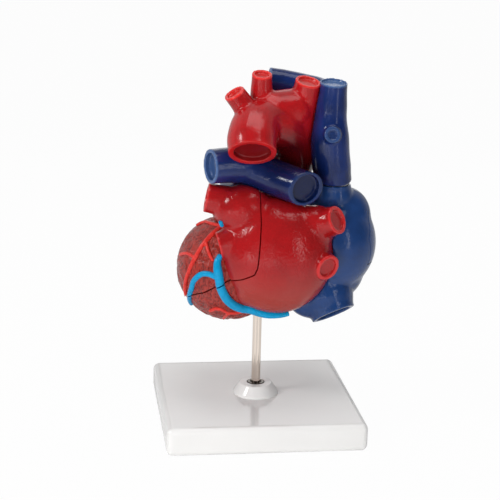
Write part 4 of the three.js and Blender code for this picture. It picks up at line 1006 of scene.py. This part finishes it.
base = rounded_block(BASE, 0, BASE_TOP, CORNER, EDGE)
bays = rounded_block(BASE - 2 * WALL, -CLEAR, BASE_TOP - WALL, CORNER - WALL)
for x, y in ((BASE / 2, RIB / 2), (RIB / 2, BASE / 2)):
    cut(bays, prism([(-x, -y), (x, -y), (x, y), (-x, y)], "Z", RIB_FOOT, BASE_TOP + CLEAR))
cut(bays, disc(BOSS, BASE_TOP + 2 * CLEAR, (0, 0, -CLEAR), (0, 0, 1)))
seat_top = BASE_TOP + COLLAR_HEIGHT
collar = spun(rounded([
    (COLLAR_HOLE, BASE_TOP - COLLAR_SUNK), (COLLAR, BASE_TOP - COLLAR_SUNK), (COLLAR, BASE_TOP + COLLAR_RIM),
    (COLLAR_TOP, seat_top), (COLLAR_HOLE, seat_top),
], COLLAR_ROUND))
changed(base, "BOOLEAN", operation="UNION", solver="EXACT", object=collar)
rod_hole = disc(ROD_HOLE, 40, (0, 0, ROD_HOLE_FOOT), (0, 0, 1))  # this tool and the next reach past the collar
seat = disc(SEAT_RADIUS, 5, (0, 0, seat_top - SEAT_DEPTH), (0, 0, 1))
for tool in (bays, rod_hole, seat):
    changed(base, "BOOLEAN", operation="DIFFERENCE", solver="EXACT", object=tool)
done(base, "base_moulding", sharp=30)

# %% [markdown]
# The rod is drawn steel with a bright chrome plate and a small chamfer at each end. A thin dark washer lies in
# the collar round its foot, with a little air on both sides. Both are spun from a profile. The washer's rounded
# edge takes the light, so it shows as a ring and not as a flat spot.

# %% The rod and its washer
ROD_RADIUS, ROD_FOOT, ROD_TOP, CHAMFER = 4, 8, 132, 0.8
ON_AXIS = 0.001  # near enough to the axis for its points to merge
WASHER_HOLE, WASHER_RADIUS, WASHER_FOOT, WASHER_TOP, WASHER_ROUND = 5.1, 7.5, 33.9, 35.5, 0.45

rod = spun([
    (ON_AXIS, ROD_FOOT), (ROD_RADIUS - CHAMFER, ROD_FOOT), (ROD_RADIUS, ROD_FOOT + CHAMFER),
    (ROD_RADIUS, ROD_TOP - CHAMFER), (ROD_RADIUS - CHAMFER, ROD_TOP), (ON_AXIS, ROD_TOP),
])
washer = spun(rounded([
    (WASHER_HOLE, WASHER_FOOT), (WASHER_RADIUS, WASHER_FOOT), (WASHER_RADIUS, WASHER_TOP), (WASHER_HOLE, WASHER_TOP),
], WASHER_ROUND))
done(rod, "rod_bar", sharp=35)
done(washer, "washer_ring", sharp=35)

# %% [markdown]
# Where a vessel is cut, the real vinyl shows as a paler ring, because paint is thin over the edge and light
# passes into it. The hollow behind is painted darker, as painted shade. Two attributes on the mesh say how much
# a point belongs to the ring and to the hollow, and the paint's nodes read them.

# %% Marking the cut ends
MARK_REACH = 3  # how far round and behind an end its marks may lie
RING_START, RING_END = -0.2, 0.9  # from the hollow's edge outwards, where the ring comes in
SHADE_START, SHADE_END = 0.2, 1.6  # down into the hollow, where it turns dark
LIP_START, LIP_END = -2.2, -0.5  # along the vessel, where its outside turns into the ring


def soft_step(value, low, high):
    """0 below low, 1 above high, and a smooth rise between."""
    share = np.clip((value - low) / (high - low), 0, 1)
    return share * share * (3 - 2 * share)


def mark_ends(thing, ends):
    """Writes the attributes rim and hollow from the places of the cut ends. The hollow one carries painted shade."""
    spots = np.array([v.co for v in thing.data.vertices]) / MM
    rim = np.zeros(len(spots))
    hollow = np.zeros(len(spots))
    for end in ends:
        way = np.array(end["way"])
        from_end = spots - np.array(end["place"])
        along = from_end @ way
        away = np.linalg.norm(from_end - np.outer(along, way), axis=1)
        near = (away < end["radius"] + MARK_REACH) & (along > -end["depth"] - MARK_REACH)
        inner = end["radius"] - end["wall"]
        # Painted shade: how far a point lies down in the hollow, where the paint is darkened.
        inside = 1 - soft_step(away, inner + RING_START, inner + RING_END)
        inside = inside * soft_step(-along, SHADE_START, SHADE_END) * near
        hollow = np.maximum(hollow, inside * end["dark"])
        ring = soft_step(along, LIP_START, LIP_END) * near * (1 - inside)
        rim = np.maximum(rim, end["bright"] * np.maximum(ring, inside * (1 - end["dark"])))
    for name, values in (("rim", rim), ("hollow", hollow)):
        attribute = thing.data.attributes.new(name, "FLOAT", "POINT")
        attribute.data.foreach_set("value", values.astype(np.float32))


mark_ends(aortic_arch, ARCH_ENDS)
mark_ends(lung_arteries, LUNG_ENDS)
mark_ends(upper_cava, VEIN_ENDS)
for piece in (left_atrium_back, left_atrium_wall):
    mark_ends(piece, STUB_ENDS)
for piece in (right_atrium_back, right_atrium_wall):
    mark_ends(piece, CAVA_END)
mark_ends(aortic_root, [])  # it has no cut end, but its paint reads the marks too
print(len(ARCH_ENDS + LUNG_ENDS + VEIN_ENDS + STUB_ENDS + CAVA_END), "cut ends marked")

# %% [markdown]
# The vessels and atria are soft vinyl, slush moulded, sprayed with coloured lacquer and varnished. The lacquer
# gives a deep even colour that is a little darker where it pooled, and the varnish a sharp gloss. The skin
# under it is faintly wrinkled, and that is what breaks each highlight into small bright flecks. Where the great
# vessels crowd together little light gets in, so shade is painted there: the paint is darker round that place.

# %% Lacquered vinyl
# Painted shade: the paint is darkened round the place where the great vessels crowd together.
CROWD_SHADE_MIDDLE, CROWD_SHADE_NEAR, CROWD_SHADE_FAR = (21, -18, 236), 20, 44  # where the great vessels crowd together
PAINT_IOR = 1.46
POOL_PATCH, POOL_STARTS, POOL_FULL = 22, 0.42, 0.66  # a pool's width, and between which noise it fills up
HAZE = 0.08  # how much duller the varnish is in places
WRINKLE_WIDTH, GRAIN_WIDTH, GRAIN_SHARE = 4.5, 1.4, 0.12  # the last is how much the grain adds to the wrinkles
LOW_STARTS, LOW_FULL = 158, 128  # heights between which the low colour comes in


def lacquered_vinyl(name, body, pooled, rim, hollow, wrinkle=0.2, gloss=0.12, low=None, crowd_shade=None):
    """Sprayed and varnished vinyl. Colours: its body, where paint pooled, the ring of a cut end, the painted shade
    in its hollow, low down on the piece, and the painted shade where the vessels crowd together."""
    material, tree, in_mm = new_material(name)
    cloud = put(tree, "ShaderNodeTexNoise", {"Vector": in_mm, "Scale": 1 / POOL_PATCH, "Detail": 3.0}).outputs[0]
    pool = put(tree, "ShaderNodeMapRange", {0: cloud, 1: POOL_STARTS, 2: POOL_FULL}).outputs[0]
    layers = [(pool, pooled)]
    if low:
        height = put(tree, "ShaderNodeSeparateXYZ", {0: in_mm}).outputs["Z"]
        fade = put(tree, "ShaderNodeMapRange", {0: height, 1: LOW_STARTS, 2: LOW_FULL}).outputs[0]
        layers.append((fade, low))
    # Painted shade: darker paint round the place where the great vessels crowd together and little light gets in.
    if crowd_shade:
        away = put(tree, "ShaderNodeVectorMath", {0: in_mm, 1: CROWD_SHADE_MIDDLE}, operation="DISTANCE").outputs["Value"]
        crowd_shade_share = put(tree, "ShaderNodeMapRange", {0: away, 1: CROWD_SHADE_FAR, 2: CROWD_SHADE_NEAR}).outputs[0]
        layers.append((crowd_shade_share, crowd_shade))
    # The hollow's colour is painted shade in the recess of a cut end.
    for mark, shade in (("rim", rim), ("hollow", hollow)):
        layers.append((put(tree, "ShaderNodeAttribute", attribute_name=mark).outputs["Fac"], shade))
    colour = linear(body)
    for share, shade in layers:
        colour = put(tree, "ShaderNodeMix", {MIX_FACTOR: share, MIX_A: colour, MIX_B: linear(shade)},
                     data_type="RGBA").outputs[MIX_OUT]
    wrinkles = put(tree, "ShaderNodeTexNoise",
                   {"Vector": in_mm, "Scale": 1 / WRINKLE_WIDTH, "Detail": 2.0, "Distortion": 0.8}).outputs[0]
    grain = put(tree, "ShaderNodeTexNoise", {"Vector": in_mm, "Scale": 1 / GRAIN_WIDTH, "Detail": 1.0}).outputs[0]
    relief = put(tree, "ShaderNodeMath", {0: grain, 1: GRAIN_SHARE, 2: wrinkles}, operation="MULTIPLY_ADD").outputs[0]
    varnish = put(tree, "ShaderNodeMapRange", {0: cloud, 3: gloss, 4: gloss + HAZE}).outputs[0]
    coat(tree, colour, varnish, relief, depth=wrinkle, IOR=PAINT_IOR)
    return material


# The last colour given to the aorta and to the vessel blue is painted shade where the great vessels crowd together.
aorta_red = lacquered_vinyl(
    "lacquered vinyl, artery red", body="#B8161B", pooled="#9E1216", rim="#E5302C", hollow="#6E0D10",
    wrinkle=0.18, gloss=0.16, crowd_shade="#4C060A")
atrium_red = lacquered_vinyl(
    "lacquered vinyl, atrium red", body="#A8161A", pooled="#9A1518", rim="#D0282A", hollow="#841417",
    wrinkle=0.42, low="#A5322A")
atrium_blue = lacquered_vinyl(
    "lacquered vinyl, atrium blue", body="#1E4078", pooled="#1A386A", rim="#56719B", hollow="#132748")
vessel_blue = lacquered_vinyl(
    "lacquered vinyl, vessel blue", body="#152C68", pooled="#102356", rim="#5576A8", hollow="#0A1740",
    wrinkle=0.22, crowd_shade="#0A1236")
print("vinyl in four colours")

# %% [markdown]
# The muscle is the same vinyl, but painted by hand: a brown red ground, with darker paint wiped into small
# streaks that are sunk into the skin. The surface vessels are raised, and picked out with a brush in two clear
# colours. The valves' leaflets have the same brushed look in bone white.

# %% Painted muscle and brushed vessels
STREAK_WIDTH, STREAK_DEPTH = 3.0, 0.8
STREAK_STARTS, STREAK_FULL = 0.46, 0.62  # between which noise a streak turns dark
STREAK_TURN, STREAK_STRETCH = (0.5, 0.3, 0.6), (1, 1, 0.4)
BLOTCH_WIDTH = 14
STROKE_WIDTH, STROKE_DEPTH = 2.5, 0.08
STROKE_STARTS, STROKE_FULL = 0.35, 0.65  # between which noise the paint is laid on full
ENAMEL_IOR = 1.38  # a little less gloss than the varnish


def wiped_muscle():
    """Brown red vinyl with darker paint in its streaks, which are sunk into the skin."""
    material, tree, in_mm = new_material("vinyl with dark paint wiped into its folds")
    stretched = put(tree, "ShaderNodeMapping", {"Vector": in_mm, "Rotation": STREAK_TURN, "Scale": STREAK_STRETCH})
    streaks = put(tree, "ShaderNodeTexNoise", {
        "Vector": stretched.outputs[0], "Scale": 1 / STREAK_WIDTH, "Detail": 4.0, "Distortion": 2.0,
    }).outputs[0]
    wiped = put(tree, "ShaderNodeMapRange", {0: streaks, 1: STREAK_STARTS, 2: STREAK_FULL}).outputs[0]
    blotch = put(tree, "ShaderNodeTexNoise", {"Vector": in_mm, "Scale": 1 / BLOTCH_WIDTH, "Detail": 2.0}).outputs[0]
    colour = linear("#B0382F")
    for share, shade in ((blotch, "#96281F"), (wiped, "#6C1A15")):
        colour = put(tree, "ShaderNodeMix", {MIX_FACTOR: share, MIX_A: colour, MIX_B: linear(shade)},
                     data_type="RGBA").outputs[MIX_OUT]
    coat(tree, colour, roughness=0.24, relief=streaks, depth=-STREAK_DEPTH, IOR=PAINT_IOR)
    return material


def brushed_paint(name, thin, full):
    """Paint laid on with a brush: thinner and fuller in turn, with a faint unevenness."""
    material, tree, in_mm = new_material(name)
    strokes = put(tree, "ShaderNodeTexNoise", {"Vector": in_mm, "Scale": 1 / STROKE_WIDTH, "Detail": 2.0}).outputs[0]
    share = put(tree, "ShaderNodeMapRange", {0: strokes, 1: STROKE_STARTS, 2: STROKE_FULL}).outputs[0]
    colour = put(tree, "ShaderNodeMix", {MIX_FACTOR: share, MIX_A: linear(thin), MIX_B: linear(full)},
                 data_type="RGBA").outputs[MIX_OUT]
    coat(tree, colour, roughness=0.25, relief=strokes, depth=STROKE_DEPTH, IOR=ENAMEL_IOR)
    return material


muscle_paint = wiped_muscle()
artery_paint = brushed_paint("brushed enamel, bright red", "#E43E36", "#D22C27")
vein_paint = brushed_paint("brushed enamel, sky blue", "#009BD0", "#0090C4")
leaflet_paint = brushed_paint("flexible vinyl, bone white", "#E9DFD0", "#D9CBB8")
print("muscle, artery, vein and leaflet paints mixed")

# %% [markdown]
# The base is glossy white polystyrene. Its gloss is a clean mirror of the studio, with only a trace of the
# ripple that a large flat moulding keeps. The rod is chrome plate: nearly a mirror, drawn lengthwise, so
# its highlights run up it as fine lines. The washer is darkened steel, and the socket and the magnets, which
# show only when the heart is open, are duller zinc and nickel.

# %% Polystyrene, chrome and nickel
RIPPLE_WIDTH, RIPPLE_DEPTH, PLASTIC_IOR = 30, 0.05, 1.5
LINE_WIDTH, LINE_STRETCH = 0.6, 50  # real lines are finer than a pixel, so they are drawn coarser to show,
# and each is that much longer than wide


def polystyrene():
    """Glossy white plastic with the faint ripple of a large flat moulding."""
    material, tree, in_mm = new_material("injection moulded polystyrene, white")
    ripple = put(tree, "ShaderNodeTexNoise", {"Vector": in_mm, "Scale": 1 / RIPPLE_WIDTH, "Detail": 1.0}).outputs[0]
    colour = put(tree, "ShaderNodeMix", {MIX_FACTOR: ripple, MIX_A: linear("#F2F1EF"), MIX_B: linear("#EEEDEB")},
                 data_type="RGBA").outputs[MIX_OUT]
    coat(tree, colour, roughness=0.12, relief=ripple, depth=RIPPLE_DEPTH, IOR=PLASTIC_IOR)
    return material


def plated(name, colour, roughness, line_depth):
    """A plated metal with fine lines along the vertical."""
    material, tree, in_mm = new_material(name)
    drawn = put(tree, "ShaderNodeMapping", {"Vector": in_mm, "Scale": (1, 1, 1 / LINE_STRETCH)})
    lines = put(tree, "ShaderNodeTexNoise",
                {"Vector": drawn.outputs[0], "Scale": 1 / LINE_WIDTH, "Detail": 2.0}).outputs[0]
    sheen = put(tree, "ShaderNodeMapRange", {0: lines, 3: roughness * 0.7, 4: roughness * 1.3}).outputs[0]
    coat(tree, linear(colour), sheen, relief=lines, depth=line_depth, Metallic=1.0)
    return material


white_plastic = polystyrene()
chrome = plated("chrome plate on drawn steel", "#EFE2D6", roughness=0.08, line_depth=0.008)
socket_steel = plated("zinc plated steel", "#A9ABAF", roughness=0.35, line_depth=0.02)
nickel = plated("nickel plated magnet", "#B9BABB", roughness=0.22, line_depth=0.005)
washer_steel = plated("darkened steel", "#6B6661", roughness=0.25, line_depth=0.01)
print("plastic and metals mixed")

# %% [markdown]
# Each piece now gets its paint, takes over from the plain solid that stands in its place, and rides on that
# solid's body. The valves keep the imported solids' shape, but a merged and smoothed copy of each takes the
# facets off. The magnets and the socket are already right and only need their metal.

# %% Seating every piece
def seated(piece, material, slot, *nodes):
    """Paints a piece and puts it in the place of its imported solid."""
    piece.data.materials.clear()
    piece.data.materials.append(material)
    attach(piece, frame["nodes"][nodes[0]]["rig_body"])
    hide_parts(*nodes)


def refined(node, voxel=0.5, passes=3):
    """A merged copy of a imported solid, with its facets smoothed away."""
    thing = copy_of(frame["nodes"][node], node + "_casting")
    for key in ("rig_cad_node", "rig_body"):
        del thing[key]
    thing.parent = None
    return done(moulded(closed(thing), voxel, passes), thing.name)


for node in ("mitral_valve", "tricuspid_valve", "aortic_valve", "lung_valve"):
    seated(refined(node), leaflet_paint, "leaflet", node)
seated(ventricle_core, muscle_paint, "muscle", "ventricle_core")
seated(left_wall, muscle_paint, "muscle", "left_ventricle_wall")
seated(front_wall, muscle_paint, "muscle", "front_ventricle_wall")
seated(left_atrium_back, atrium_red, "atrium_red", "left_atrium_back")
seated(left_atrium_wall, atrium_red, "atrium_red", "left_atrium_wall")
seated(right_atrium_back, atrium_blue, "vein_blue", "right_atrium_back")
seated(right_atrium_wall, atrium_blue, "vein_blue", "right_atrium_wall")
seated(aortic_root, aorta_red, "artery_red", "aortic_root")
seated(aortic_arch, aorta_red, "artery_red", "aortic_arch")
seated(lung_arteries, vessel_blue, "vein_blue", "lung_arteries")
seated(upper_cava, vessel_blue, "vein_blue", "upper_hollow_vein")
for node, piece in skin_vessels.items():
    is_artery = "artery" in node
    seated(piece, artery_paint if is_artery else vein_paint, "coronary_red" if is_artery else "pale_blue", node)
seated(base, white_plastic, "white_plastic", "base_plate")
seated(rod, chrome, "chrome_rod", "support_rod")
seated(washer, washer_steel, "chrome_rod", "rod_washer")

for name, node in frame["nodes"].items():
    metal = socket_steel if name == "rod_socket" else nickel if "magnet" in name else white_plastic
    for place in range(len(node.data.materials)):
        node.data.materials[place] = metal
print(sum("magnet" in name for name in frame["nodes"]), "magnets plated")

# %% [markdown]
# The forms that only served as cutters go, so that nothing stray is left. What shows should be nearly the size
# of the imported model, whose size is the true one: the middle branch, sawn off at the real one's slant,
# reaches 1.6 mm past it.

# %% Clear away and finish
for thing in list(scene.objects):
    if thing.type in ("MESH", "CURVE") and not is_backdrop(thing) and not body_of(thing):
        bpy.data.objects.remove(thing)
